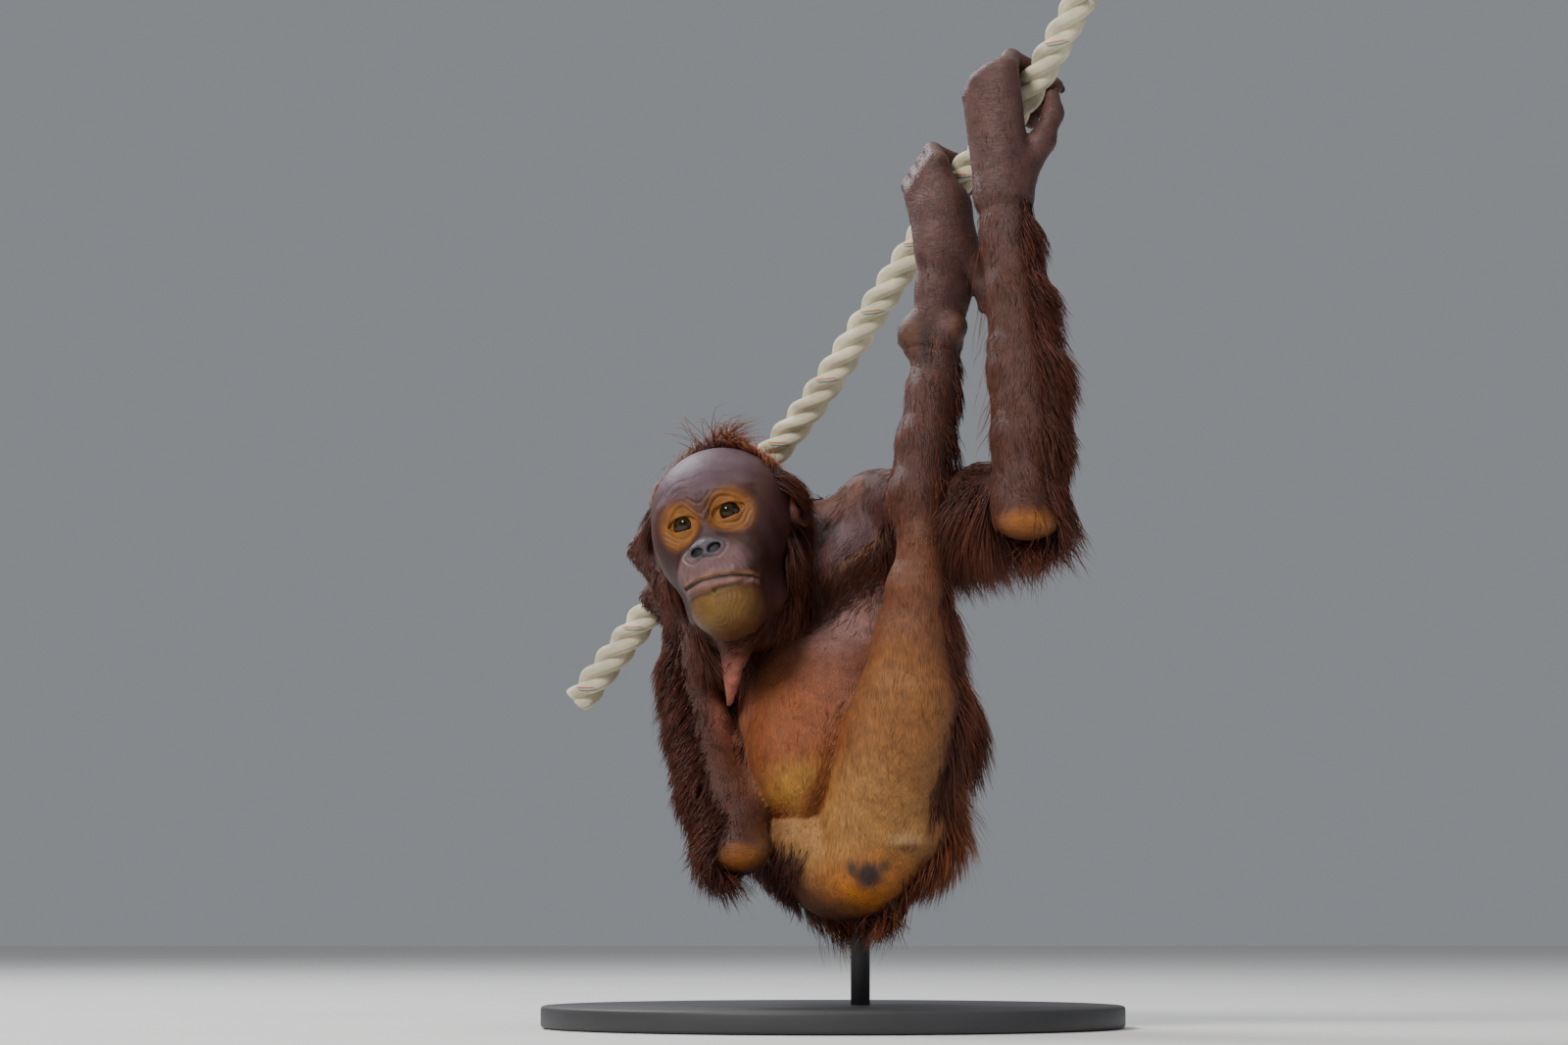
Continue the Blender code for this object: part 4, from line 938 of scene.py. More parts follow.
bodyPatches = [
    # centre in metres, reach in metres, softness, colour
    ((0.020, 0.000, 0.350), (0.060, 0.080, 0.044), 0.6, shade(80, 50, 52)),
    ((0.090, -0.040, 0.385), (0.060, 0.110, 0.040), 0.5, shade(72, 42, 34)),
    ((-0.010, -0.040, 0.275), (0.060, 0.060, 0.050), 0.6, shade(118, 72, 54)),
    # Painted highlight on the upper chest
    ((0.000, -0.040, 0.298), (0.032, 0.050, 0.020), 0.7, shade(142, 106, 102)),
    ((-0.028, -0.045, 0.215), (0.045, 0.060, 0.045), 0.6, shade(130, 70, 34)),
    ((-0.024, -0.055, 0.172), (0.024, 0.060, 0.022), 0.6, shade(156, 108, 42)),
    ((0.062, -0.090, 0.300), (0.040, 0.060, 0.070), 0.6, shade(104, 62, 40)),
    ((0.045, -0.110, 0.222), (0.040, 0.060, 0.060), 0.6, shade(134, 86, 44)),
    ((-0.012, -0.060, 0.136), (0.034, 0.060, 0.026), 0.6, shade(150, 108, 60)),
    ((0.030, -0.080, 0.150), (0.050, 0.070, 0.044), 0.6, shade(160, 112, 62)),
    ((0.024, -0.085, 0.104), (0.036, 0.050, 0.022), 0.6, shade(170, 102, 38)),
    ((0.025, -0.085, 0.111), (0.011, 0.030, 0.010), 0.5, shade(60, 42, 36)),
    ((0.013, -0.085, 0.117), (0.0045, 0.030, 0.006), 0.7, shade(78, 54, 40)),
    ((0.036, -0.085, 0.117), (0.005, 0.030, 0.005), 0.7, shade(92, 62, 42)),
    # Painted highlight on the small fold by the left thigh, and painted shade in the crease just under it
    ((0.052, -0.090, 0.137), (0.012, 0.030, 0.0045), 0.6, shade(186, 142, 98)),
    ((0.052, -0.090, 0.131), (0.010, 0.030, 0.0025), 0.8, shade(104, 68, 40)),
    # The throat wedge: pink skin brightened with painted sunlight
    ((-0.077, -0.012, 0.262), (0.016, 0.034, 0.042), 0.5, shade(206, 130, 112)),
    ((0.139, -0.147, 0.362), (0.020, 0.022, 0.009), 0.7, skinTones["callus"]),
    ((-0.068, -0.063, 0.124), (0.016, 0.020, 0.009), 0.7, skinTones["callus"]),
    ((0.090, -0.050, 0.512), (0.006, 0.014, 0.011), 0.8, skinTones["heel"]),
    ((0.057, -0.044, 0.504), (0.006, 0.016, 0.013), 0.8, skinTones["heel"]),
    # Painted shade in the groove between the two ankle knobs
    ((0.068, -0.050, 0.498), (0.005, 0.012, 0.016), 0.7, shade(56, 36, 31)),
]
bodyLines = [
    # world points in metres as (across, height) on the front, width in metres, colour
    ([(0.039, 0.362), (0.015, 0.342), (-0.0145, 0.321)], 0.004, shade(120, 84, 56)),
    ([(-0.060, 0.292), (-0.020, 0.308), (0.030, 0.338)], 0.012, shade(70, 34, 26)),
    # Painted shade in the groin crease
    ([(-0.043, 0.153), (-0.025, 0.144), (-0.013, 0.150), (0.000, 0.185), (0.014, 0.228)], 0.0035,
     shade(96, 50, 24)),
]


def patchWeight(local, centre, reach, soft):
    away = np.linalg.norm((local - vec(centre)) / vec(reach), axis=1)
    return 1.0 - smooth(1.0 - soft, 1.0 + soft, away)


def skinTint(points, normals, owner, depth, cover):
    tint = np.tile(skinTones["body"], (len(points), 1))
    trunk = np.isin(owner, ["torso", "neck"])
    tint[np.isin(owner, list(wristCuts))] = skinTones["hand"]
    # Shanks and forearms are darker than the body and run into the hand's colour
    tint[np.isin(owner, hairyLimbs)] = skinTones["limb"]
    darker = ("shankLeft", 0.50, 0.44), ("forearmLeft", 0.60, 0.54), ("forearmRight", 0.30, 0.24)
    for name, low, high in darker:
        tint = tinted(tint, skinTones["hand"], smooth(high, low, points[:, 2]) * (owner == name))
    tint = tinted(tint, skinTones["knee"], smooth(0.385, 0.345, points[:, 2]) * (owner == "shankLeft"))
    for centre, reach, soft, colour in bodyPatches:
        tint = tinted(tint, colour, patchWeight(points, centre, reach, soft))
    front = smooth(0.0, 0.4, -normals[:, 1]) * trunk
    for line, width, colour in bodyLines:
        away = nearLine(points[:, [0, 2]], line)
        tint = tinted(tint, colour, np.exp(-(away / width) ** 2) * front * 0.8)
    # Painted shade on the skin under the coat, darkened towards the colour of the hair roots
    tint = tinted(tint, skinTones["shadeUnderCoat"], 0.6 * cover)
    local = toHead(points)
    head = np.isin(owner, ["head", "neck"]) * smooth(-112, -92, local[:, 2])
    tint = tinted(tint, skinTones["face"], smooth(-30, -5, local[:, 1]) * head * (1 - 0.8 * cover))
    for centre, reach, soft, colour, strength in facePatches:
        share = patchWeight(local, centre, reach, soft) * head * strength * (1 - cover)
        tint = tinted(tint, skinTones[colour], share)
    # The ear's hollow is reddish skin darkened with painted shade
    ears = np.isin(owner, ["earLeft", "earRight"])
    inner = smooth(11, 4, np.linalg.norm(np.abs(local) - vec((60, 9, 3)), axis=1))
    tint[ears] = tinted(skinTones["ear"], skinTones["earDeep"], inner)[ears]
    onLips, flat = head * (local[:, 1] > 46) * (1 - cover), local[:, [0, 2]]
    for lift, width, colour, strength in ((3.4, 1.6, "lipEdge", 0.55), (-3.2, 2.5, "lipPink", 0.85)):
        row = [mouthFlat(x, -55.5 + lift * (1 - abs(x) / 60)) for x in (-25, -14, 0, 14, 25)]
        share = np.exp(-(nearLine(flat, row) / width) ** 2) * onLips * strength
        tint = tinted(tint, skinTones[colour], share)
    # Painted shade: the mouth line and the insides of the nostrils are darkened almost to black
    slot = [mouthFlat(across, up) for across, up in ((-27, -55.5), (-14, -54.5), (14, -54.5), (27, -55.5))]
    dark = np.exp(-(nearLine(flat, slot) / 0.9) ** 2) * onLips
    for side in (-1, 1):
        away = np.linalg.norm((local - vec((side * 6.7 + 1.5, 64, -32.0))) / vec((6.2, 16, 4.6)), axis=1)
        dark = np.maximum(dark, (1 - smooth(0.7, 1.15, away)) * head)
    # Painted shade: the pressed folds are darker by their depth
    return tinted(tint, skinTones["nostril"], dark) * (1 - 0.42 * np.clip(depth, 0, 1))[:, None]


coatTones = {
    "root": shade(50, 26, 20), "deep": shade(82, 42, 30), "mid": shade(112, 60, 38),
    "lit": shade(170, 98, 52), "gold": shade(196, 130, 72),
}
down = vec((0.0, 0.0, -1.0))


def onPart(owner, *names):
    return np.isin(owner, names).astype(float)


def facingWay(normals, way, low=-0.1, high=0.35):
    return smooth(low, high, normals @ unit(way))


def awayFrom(points, centre, low, high):
    return smooth(low, high, np.linalg.norm(points - vec(centre), axis=1))


def nearFrontLine(points, number, reach):
    return np.exp(-(nearLine(points[:, [0, 2]], bodyLines[number][0]) / reach) ** 2)


def steady(way):
    return lambda points, normals: np.tile(vec(way), (len(points), 1))


def scalp(points, normals, owner):
    local = toHead(points)
    across, front, lift = local.T
    sideHair = smooth(41, 48, np.abs(across)) * smooth(16, 6, front) * smooth(-58, -44, lift)
    hairLine = np.where(lift > 30, 7.0, -12.0 + 0.25 * lift)
    topHair = smooth(5.0, -5.0, front - hairLine) * (lift > -70)
    earHold = 1.0 - patchWeight(np.abs(local), (56, 9, 3), (12, 14, 19), 0.2)
    return onPart(owner, "head") * np.maximum(topHair, sideHair) * earHold


def crown(points, normals, owner):
    return scalp(points, normals, owner) * smooth(24, 40, toHead(points)[:, 2])


def backOfHead(points, normals, owner):
    return scalp(points, normals, owner) * smooth(40, 24, toHead(points)[:, 2])


def crownLie(points, normals):
    local = toHead(points)
    front = smooth(-26, 4, local[:, 1])[:, None]
    rising = 0.95 * headAxes[2] + 0.12 * headAxes[0] + 0.05 * headAxes[1]
    side = np.sign(local[:, 0])[:, None] * headAxes[0]
    return rising * front + (0.5 * side - 0.8 * headAxes[1] + 0.1 * headAxes[2]) * (1 - front)


def backOfHeadLie(points, normals):
    side = np.sign(toHead(points)[:, 0])[:, None] * headAxes[0]
    return 0.6 * side - 0.3 * headAxes[1] - 0.6 * headAxes[2]


def crownTuft(roots):
    # The tuft above the forehead is the longest, a little to the right of the middle
    local = toHead(roots)
    near = np.exp(-((local[:, 0] - 3) / 13) ** 2 - ((local[:, 1] - 2) / 15) ** 2)
    return 0.65 + 1.9 * near


def wristShort(roots):
    return 0.32 + 0.73 * smooth(0.32, 0.22, roots[:, 2])


def wisps(points, normals, owner):
    # Stray hairs that soften the outline
    fringe = onPart(owner, "rump", "thighLeft") * facingWay(normals, (0.8, 0.5, -0.3), 0.0, 0.5)
    behind = facingWay(normals, (0, 0.5, -0.2), -0.3, 0.3)
    arm = onPart(owner, "forearmRight", "upperArmLeft", "forearmLeft") * behind
    return scalp(points, normals, owner) + 0.35 * fringe + 0.3 * arm * elbowHold(points)


def wispsLie(points, normals):
    # Strays stand up on the crown and trail down everywhere else
    nearHead = np.linalg.norm(points - headCentre, axis=1) < 0.09
    up = (smooth(20, 45, toHead(points)[:, 2]) * nearHead)[:, None]
    return up * (0.8 * headAxes[2] - 0.3 * headAxes[0]) + (1 - up) * vec((-0.2, 0.1, -1.0))


def limbHair(points, normals, owner):
    shoulder = onPart(owner, "torso") * smooth(0.31, 0.345, points[:, 2])
    return (onPart(owner, *hairyLimbs) + 0.7 * shoulder) * elbowHold(points)


def nape(points, normals, owner):
    local = toHead(points)
    throat = smooth(-8, 8, local[:, 1]) * smooth(34, 24, np.abs(local[:, 0] + 4))
    wedge = nearLine(points[:, [0, 2]], [(-0.077, 0.296), (-0.0765, 0.242)])
    wattle = smooth(0.016, 0.008, wedge) * (points[:, 1] < 0.025)
    return onPart(owner, "neck") * (1 - throat) * (1 - wattle)


def chestBand(points, normals, owner):
    front = facingWay(normals, (0, -1, 0), 0.0, 0.3)
    return onPart(owner, "torso", "neck") * front * nearFrontLine(points, 1, 0.014)


def back(points, normals, owner):
    side = facingWay(normals, (-0.75, -0.62, 0.15), -0.10, 0.30)
    front = facingWay(normals, (-0.35, -1, 0), 0.1, 0.45)
    return onPart(owner, "torso") * (1.0 - np.maximum(side, front))


def rumpFringe(points, normals, owner):
    return onPart(owner, "rump") * facingWay(normals, (0.55, 0.75, -0.35), -0.15, 0.35)


def shortCoat(points, normals, owner):
    limbs = onPart(owner, *hairyLimbs)
    rest = onPart(owner, "thighLeft", "thighRight", "torso", "rump")
    seat = awayFrom(points, (0.025, -0.085, 0.111), 0.014, 0.026)
    grips = onPart(owner, *wristCuts)
    return (limbs + 0.32 * rest + 0.3 * grips) * seat * elbowHold(points)


def elbowHold(points):
    left = awayFrom(points, (0.139, -0.146, 0.362), 0.018, 0.032)
    return left * awayFrom(points, (-0.068, -0.062, 0.122), 0.016, 0.030)


downLie = steady((0.05, 0.0, -1.0))  # from wrist and shoulder down to the elbow, on the legs down to the rump
darkTones, warmTones, softTones = ("root", "deep", "mid"), ("deep", "mid", "lit"), ("deep", "mid", "mid")


def hair(count, weight, lie, length, width, lift, droop, tones=darkTones, sunk=0.8, longer=None):
    return {
        "count": count, "weight": weight, "lie": lie, "length": length, "width": width, "lift": lift,
        "droop": droop, "tones": tones, "sunk": sunk, "longer": longer,
    }


def armLeft(points, normals, owner):
    under = facingWay(normals, (0.2, 0.45, -1.0), -0.3, 0.2)
    return onPart(owner, "upperArmLeft") * np.maximum(under, 0.7 * smooth(0.07, 0.10, points[:, 0]))


def forearmLeft(points, normals, owner):
    return onPart(owner, "forearmLeft") * facingWay(normals, (1.0, 0.6, 0.0), -0.25, 0.35) * elbowHold(points)


def armRight(points, normals, owner):
    return onPart(owner, "upperArmRight") * facingWay(normals, (-0.3, 0.6, -0.5), -0.9, -0.3)


def forearmRight(points, normals, owner):
    reach = onPart(owner, "forearmRight") + 0.4 * onPart(owner, "handRight") * (points[:, 2] < 0.375)
    return reach * facingWay(normals, (-1.0, 0.35, -0.1), -0.30, 0.35) * elbowHold(points)


def legLeft(points, normals, owner):
    outer = (1.0, 0.8, 0.0)
    thigh = onPart(owner, "thighLeft") * facingWay(normals, outer, -0.05, 0.5)
    return thigh + 0.5 * onPart(owner, "shankLeft") * facingWay(normals, outer, -0.1, 0.5)


def legRight(points, normals, owner):
    under = facingWay(normals, (-0.2, 0.3, -1.0), -0.4, 0.2)
    behind = facingWay(normals, (0.3, 1.0, 0.2), -0.2, 0.3)
    shank = onPart(owner, "shankRight") * facingWay(normals, (-0.3, 1.0, 0.0), -0.5, 0.2)
    return onPart(owner, "thighRight") * np.maximum(under, behind) + shank


def groin(points, normals, owner):
    return onPart(owner, "torso") * facingWay(normals, (0, -1, 0), 0.0, 0.3) * nearFrontLine(points, 2, 0.007)


def shortUpper(points, normals, owner):
    return shortCoat(points, normals, owner) * (points[:, 2] > 0.27)


def shortLower(points, normals, owner):
    return shortCoat(points, normals, owner) * (points[:, 2] <= 0.27)


coatZones = {
    # count of tufts, where they root, how they lie, length range and width in mm, rise off the skin, hang,
    # colours, depth of the roots in mm, and what makes some longer than others
    "coatCrown": hair(6000, crown, crownLie, (13, 25), 0.5, 1.0, 0.12, warmTones, longer=crownTuft),
    "coatHead": hair(7600, backOfHead, backOfHeadLie, (18, 34), 0.7, 0.55, 0.2),
    "coatNape": hair(4200, nape, steady((-0.25, -0.1, -0.7)), (12, 30), 0.75, 0.3, 0.2),
    "coatBack": hair(9000, back, steady((0.30, 0.10, -1.0)), (28, 50), 0.95, 0.34, 0.25),
    "coatRump": hair(4000, rumpFringe, steady((0.15, 0.05, -1.0)), (18, 36), 0.75, 0.4, 0.25, warmTones),
    "coatArmLeft": hair(6200, armLeft, steady((0.30, 0.30, -0.6)), (22, 46), 0.8, 0.32, 0.45),
    "coatForearmLeft": hair(8500, forearmLeft, steady((0.10, 0.0, -1.0)), (20, 40), 0.7, 0.5, 0.12),
    "coatArmRight": hair(5000, armRight, steady((-0.25, 0.1, -1.0)), (24, 42), 0.8, 0.35, 0.2),
    "coatForearmRight": hair(10000, forearmRight, steady((-0.40, -0.05, -0.9)), (16, 34), 0.7, 0.45, 0.12,
                             longer=wristShort),
    "coatLegLeft": hair(4000, legLeft, steady((0.25, 0.1, -1.0)), (14, 28), 0.7, 0.3, 0.15),
    "coatLegRight": hair(5000, legRight, steady((-0.1, 0.2, -0.9)), (18, 34), 0.75, 0.35, 0.2),
    "coatChest": hair(2600, chestBand, steady((-0.7, -0.2, -0.55)), (6, 14), 0.42, 0.22, 0.1, sunk=0.4),
    "coatGroin": hair(800, groin, steady((-0.5, -0.3, -0.6)), (5, 12), 0.36, 0.2, 0.1,
                      ("mid", "lit", "gold"), 0.3),
    "coatWisps": hair(1800, wisps, wispsLie, (24, 46), 0.32, 0.9, 0.25, ("mid", "mid", "lit"), 0.6),
    "coatLimbs": hair(7000, limbHair, downLie, (7, 15), 0.36, 0.16, 0.08, softTones, 0.15),
    "coatShortUpper": hair(9000, shortUpper, downLie, (4, 8), 0.30, 0.2, 0.05, None, 0.1),
    "coatShortLower": hair(7600, shortLower, downLie, (4, 8), 0.30, 0.2, 0.05, None, 0.1),
}


def normed(vectors):
    return vectors / np.maximum(np.linalg.norm(vectors, axis=-1, keepdims=True), 1e-9)


tuftHabit = {
    "swirls": ((61, 40, 33), (-45, 70, 52), (38, -57, 66)), "swirl": 0.22, "scatter": 0.16, "wave": 0.07,
    "perGuide": 14, "gather": (0.1, 0.65),  # tufts that lean to one leader, and how strongly
    "tiles": 5, "patch": 0.003,  # tiles in each row of the unwrap, and the size of one tuft's patch on it
}


def unwrapPlace(points, owner):
    # A tile for each part of the body, laid out by turn round the part and place along it
    names = list(bodyParts)
    tiles = tuftHabit["tiles"]
    place = np.zeros((len(points), 2))
    for number, name in enumerate(names):
        here = owner == name
        if not here.any():
            continue
        low, high = limbBound(bodyParts[name])
        size = high - low
        along = int(np.argmax(size))
        one, two = (along + 1) % 3, (along + 2) % 3
        local = points[here] - (low + high) / 2
        turn = np.arctan2(local[:, two], local[:, one]) / (2 * math.pi) + 0.5
        share = np.clip(local[:, along] / size[along] + 0.5, 0, 1)
        corner = vec((number % tiles, number // tiles))
        place[here] = (corner + 0.04 + 0.92 * np.stack([turn, share], -1)) / tiles
    return place


def growTufts(name, zone, body, seed):
    # One mesh of closed, tapering, three-sided tufts, rooted in the skin
    draw = np.random.default_rng(seed)
    points, normals, triangles, areas, owner, skinColour = body
    middle = points[triangles].mean(1)
    faceNormals = normals[triangles].mean(1)
    weight = np.clip(zone["weight"](middle, faceNormals, owner[triangles[:, 0]]), 0, 1) * areas
    count = zone["count"]
    picked = draw.choice(len(triangles), count, p=weight / weight.sum())
    shares = draw.dirichlet((1, 1, 1), count)[:, :, None]
    roots = (points[triangles[picked]] * shares).sum(1)
    ways = normed((normals[triangles[picked]] * shares).sum(1))
    rootOwner = owner[triangles[picked, 0]]
    lie = np.broadcast_to(zone["lie"](roots, ways), roots.shape)
    # Broad swirls shared by neighbours, then a little of each tuft's own
    swirl = np.stack([np.sin(roots @ vec(k) + k[0]) for k in tuftHabit["swirls"]], -1)
    lie = normed(lie) + tuftHabit["swirl"] * swirl + draw.normal(0, tuftHabit["scatter"], lie.shape)
    flow = normed(lie - (lie * ways).sum(1, keepdims=True) * ways)
    rise = zone["lift"] * draw.uniform(0.6, 1.4, (count, 1))
    start = normed(flow + ways * rise)
    low, high = zone["length"]
    length = draw.uniform(low, high, (count, 1)) * mm * (1 + 0.2 * swirl[:, :1])
    if zone["longer"]:
        length = length * zone["longer"](roots)[:, None]
    steps = 4 if zone["tones"] else 3
    path = np.zeros((steps, count, 3))
    side = normed(np.cross(flow, ways))
    phase = draw.uniform(0, 2 * math.pi, (count, 1))
    for number in range(steps):
        share = number / (steps - 1)
        wave = tuftHabit["wave"] * (np.sin(share * 3.6 + phase) - np.sin(phase))
        hang = down * zone["droop"] * share ** 2
        reach = start * share + hang + side * wave - ways * rise * 0.25 * share ** 2
        path[number] = roots - ways * zone["sunk"] * mm + length * reach
    # Neighbouring tufts lean together towards their tips
    guides = draw.choice(count, max(count // tuftHabit["perGuide"], 1), replace=False)
    tree = KDTree(len(guides))
    for number, guide in enumerate(guides):
        tree.insert(roots[guide], number)
    tree.balance()
    leader = guides[np.array([tree.find(root)[1] for root in roots])]
    gather = draw.uniform(*tuftHabit["gather"], (count, 1))
    for number in range(1, steps):
        share = number / (steps - 1)
        path[number] += (path[number][leader] - path[number]) * gather * share ** 1.3
    ahead = normed(np.concatenate([path[1:] - path[:-1], path[-1:] - path[-2:-1]]))
    across = normed(np.cross(ahead, ways[None]))
    top = np.cross(across, ahead)
    width = zone["width"] * mm * draw.uniform(0.7, 1.3, (count, 1))
    rings = []
    for number in range(steps - 1):
        share = number / (steps - 1)
        half = 0.5 * width * (0.8 + 0.6 * share if share < 0.4 else 1.04 - 0.55 * (share - 0.3))
        for turn in (90, 210, 330):
            wide, high = half * math.cos(math.radians(turn)), half * 0.7 * math.sin(math.radians(turn))
            rings.append(path[number] + across[number] * wide + top[number] * high)
    rings.append(path[-1])
    verts = np.stack(rings, 1)
    perTuft = verts.shape[1]
    pattern = [(0, 2, 1)]
    for ring in range(0, 3 * (steps - 2), 3):
        for edge in range(3):
            near, nxt = ring + edge, ring + (edge + 1) % 3
            pattern += [(near, nxt, nxt + 3), (near, nxt + 3, near + 3)]
    last = 3 * (steps - 2)
    pattern += [(last + edge, last + (edge + 1) % 3, perTuft - 1) for edge in range(3)]
    faces = np.array(pattern)[None] + perTuft * np.arange(count)[:, None, None]
    coat = meshObject(name, verts.reshape(-1, 3), faces.reshape(-1, 3))
    if zone["tones"]:
        root, mid, tip = [coatTones[tone] for tone in zone["tones"]]
    else:  # short coat: a little darker than the skin it grows on
        root = (skinColour[triangles[picked, 0]] * 0.92)[:, None]
        mid, tip = root * vec((0.98, 0.90, 0.84)), root * vec((1.2, 1.06, 0.98))
    heights = np.array([(number // 3) / (steps - 1) for number in range(perTuft - 1)] + [1.0])
    bright = draw.uniform(0.6, 1.35, (count, 1, 1)) * draw.uniform(0.75, 1.25, (count, 1, 1))[leader]
    bright = bright if zone["tones"] else bright ** 0.5
    share = heights[None, :, None]
    tint = root * (1 - smooth(0, 0.5, share)) + mid * smooth(0, 0.5, share)
    tint = (tint * (1 - smooth(0.55, 1.1, share)) + tip * smooth(0.55, 1.1, share)) * bright
    paintPoints(coat, tint.reshape(-1, 3))
    # Every tuft takes one small patch of the body's unwrap, at its root
    place = unwrapPlace(roots, rootOwner)
    patch = tuftHabit["patch"] * np.stack([np.tile([0.0, 0.5, 1.0], steps)[:perTuft], heights], -1)
    layer = coat.data.uv_layers.new(name="OFBake")
    uv = (place[:, None] + patch[None]).reshape(-1, 2)
    layer.data.foreach_set("uv", uv[faces.reshape(-1)].astype(np.float32).ravel())
    return coat


eyeLook = {
    "iris": 6.2, "pupil": 2.6, "corneaRise": 0.8, "segments": 64, "rings": 40,
    "white": shade(34, 20, 15), "brown": shade(56, 42, 16), "rim": shade(12, 7, 5), "black": 0.004,
}


def buildEye(name, side):
    # A ball with a slightly raised cornea
    centre = eyeCentre(side)
    gaze = unit(headAxes[1] + 0.06 * headAxes[2] - 0.05 * side * headAxes[0])
    left = unit(headAxes[0] - gaze * np.dot(headAxes[0], gaze))
    axes = np.array([left, gaze, np.cross(left, gaze)])
    rings, segments = eyeLook["rings"], eyeLook["segments"]
    points, radius = [], face["eyeballRadius"]
    for ring in range(rings + 1):
        tilt = math.pi * ring / rings
        for segment in range(segments):
            turn = 2 * math.pi * segment / segments
            points.append((math.sin(tilt) * math.cos(turn), math.cos(tilt), math.sin(tilt) * math.sin(turn)))
    points = np.array(points)
    away = np.linalg.norm(points[:, [0, 2]], axis=1) * radius + (points[:, 1] < 0) * 99
    bulge = eyeLook["corneaRise"] * (1 - smooth(0, eyeLook["iris"] + 0.8, away))
    local = points * (radius + bulge)[:, None]
    eye = meshObject(name, centre + (local * mm) @ axes, ringFaces(rings, segments))
    welded(eye)
    spots, _ = readPoints(eye)
    place = (spots - centre) @ axes.T / mm
    away = np.where(place[:, 1] > 0, np.linalg.norm(place[:, [0, 2]], axis=1), 99.0)
    ray = np.arctan2(place[:, 2], place[:, 0])
    streak = 0.85 + 0.15 * np.sin(ray * 23) * np.sin(ray * 7 + 1)
    iris, pupil = eyeLook["iris"], eyeLook["pupil"]
    tint = np.tile(eyeLook["white"], (len(spots), 1))
    tint = tinted(tint, eyeLook["brown"] * streak[:, None], 1 - smooth(iris - 0.3, iris + 0.3, away))
    tint = tinted(tint, eyeLook["rim"], np.exp(-((away - iris) / 0.7) ** 2))
    paintPoints(eye, tinted(tint, eyeLook["black"], 1 - smooth(pupil - 0.25, pupil + 0.25, away)))
    return eye


def welded(thing):
    work = bmesh.new()
    work.from_mesh(thing.data)
    bmesh.ops.remove_doubles(work, verts=work.verts, dist=1e-6)
    bmesh.ops.dissolve_degenerate(work, edges=work.edges, dist=1e-7)
    bmesh.ops.recalc_face_normals(work, faces=work.faces)
    work.to_mesh(thing.data)
    work.free()
    thing.data.polygons.foreach_set("use_smooth", np.ones(len(thing.data.polygons), dtype=bool))


nailShape = {
    # shares of the fingertip's radius, then how strongly the nail bends over it
    "wide": 0.62, "long": 0.85, "thick": 0.28, "ahead": 0.35, "outward": 0.62, "bow": (0.045, 0.02),
    "sides": 16, "rings": 8,
}


def buildNails():
    points, faces = [], []
    around, rings = nailShape["sides"], nailShape["rings"]
    bowAcross, bowAlong = nailShape["bow"]
    for before, tip, radius, grip in digitTips:
        along = unit(tip - before)
        centre, ropeWay = grip[0], grip[1]
        outward = tip - centre
        outward = unit(outward - ropeWay * np.dot(outward, ropeWay))
        outward = unit(outward - along * np.dot(outward, along))
        across = np.cross(along, outward)
        middle = tip + along * radius * nailShape["ahead"] * mm + outward * radius * nailShape["outward"] * mm
        base = len(points)
        for ring in range(rings + 1):
            tilt = math.pi * ring / rings
            for number in range(around):
                turn = 2 * math.pi * number / around
                sideways = math.sin(tilt) * math.cos(turn) * radius * nailShape["wide"]
                forward = math.sin(tilt) * math.sin(turn) * radius * nailShape["long"]
                high = math.cos(tilt) * radius * nailShape["thick"]
                high = high - bowAcross * sideways ** 2 - bowAlong * forward ** 2
                points.append(middle + (across * sideways + along * forward + outward * high) * mm)
        faces += ringFaces(rings, around, base)
    nails = meshObject("nails", points, faces)
    welded(nails)
    return nails


def yarnTint(strand, angle, facing):
    # One strand carries a red and a teal marker yarn that surface once on each side of every turn
    if strand == 0 and abs(facing) > 0.80:
        place = math.degrees(math.atan2(math.sin(angle), math.cos(angle)))
        for middle, colour in ropeShape["markers"]:
            if abs(place - middle) < 8:
                return colour
    return ropeShape["cream"]


def buildRope():
    count, sides = ropeShape["rings"], ropeShape["sides"]
    line, length = ropeSamples(count)
    ahead = normed(np.gradient(line, axis=0))
    sideWay = unit((-0.8, 0.0, 0.6))
    points, faces, tints = [], [], []
    frames = []
    for number in range(count):
        sideWay = unit(sideWay - ahead[number] * np.dot(sideWay, ahead[number]))
        frames.append((sideWay, np.cross(ahead[number], sideWay)))
    rows = [0] + list(range(count)) + [count - 1]  # the first and last row close to a point
    for strand in range(3):
        base = len(points)
        for place, number in enumerate(rows):
            turn = 2 * math.pi * (length * number / (count - 1) / mm / ropeShape["layLength"] + strand / 3)
            one, two = frames[number]
            spin = math.cos(turn) * one + math.sin(turn) * two
            centre = line[number] + ropeShape["strandOffset"] * mm * spin
            closed = place in (0, len(rows) - 1)
            for side in range(sides):
                angle = 2 * math.pi * side / sides + turn
                ridge = 1 + 0.035 * math.cos(8 * 2 * math.pi * side / sides + 6 * turn)
                radius = 0.0 if closed else ropeShape["strandRadius"] * ridge * mm
                points.append(centre + radius * (math.cos(angle) * one + math.sin(angle) * two))
                tints.append(yarnTint(strand, angle - turn, spin[1]))
        faces += ringFaces(len(rows) - 1, sides, base)
    rope = meshObject("rope", points, faces)
    paintPoints(rope, np.array(tints))
    welded(rope)
    return rope


def turned(name, profile, centre, sides):
    # A round piece from its (radius, height) profile
    points = []
    for radius, height in profile:
        for number in range(sides):
            turn = 2 * math.pi * number / sides
            points.append((centre[0] + radius * math.cos(turn), centre[1] + radius * math.sin(turn), height))
    thing = meshObject(name, points, ringFaces(len(profile) - 1, sides))
    welded(thing)
    return thing


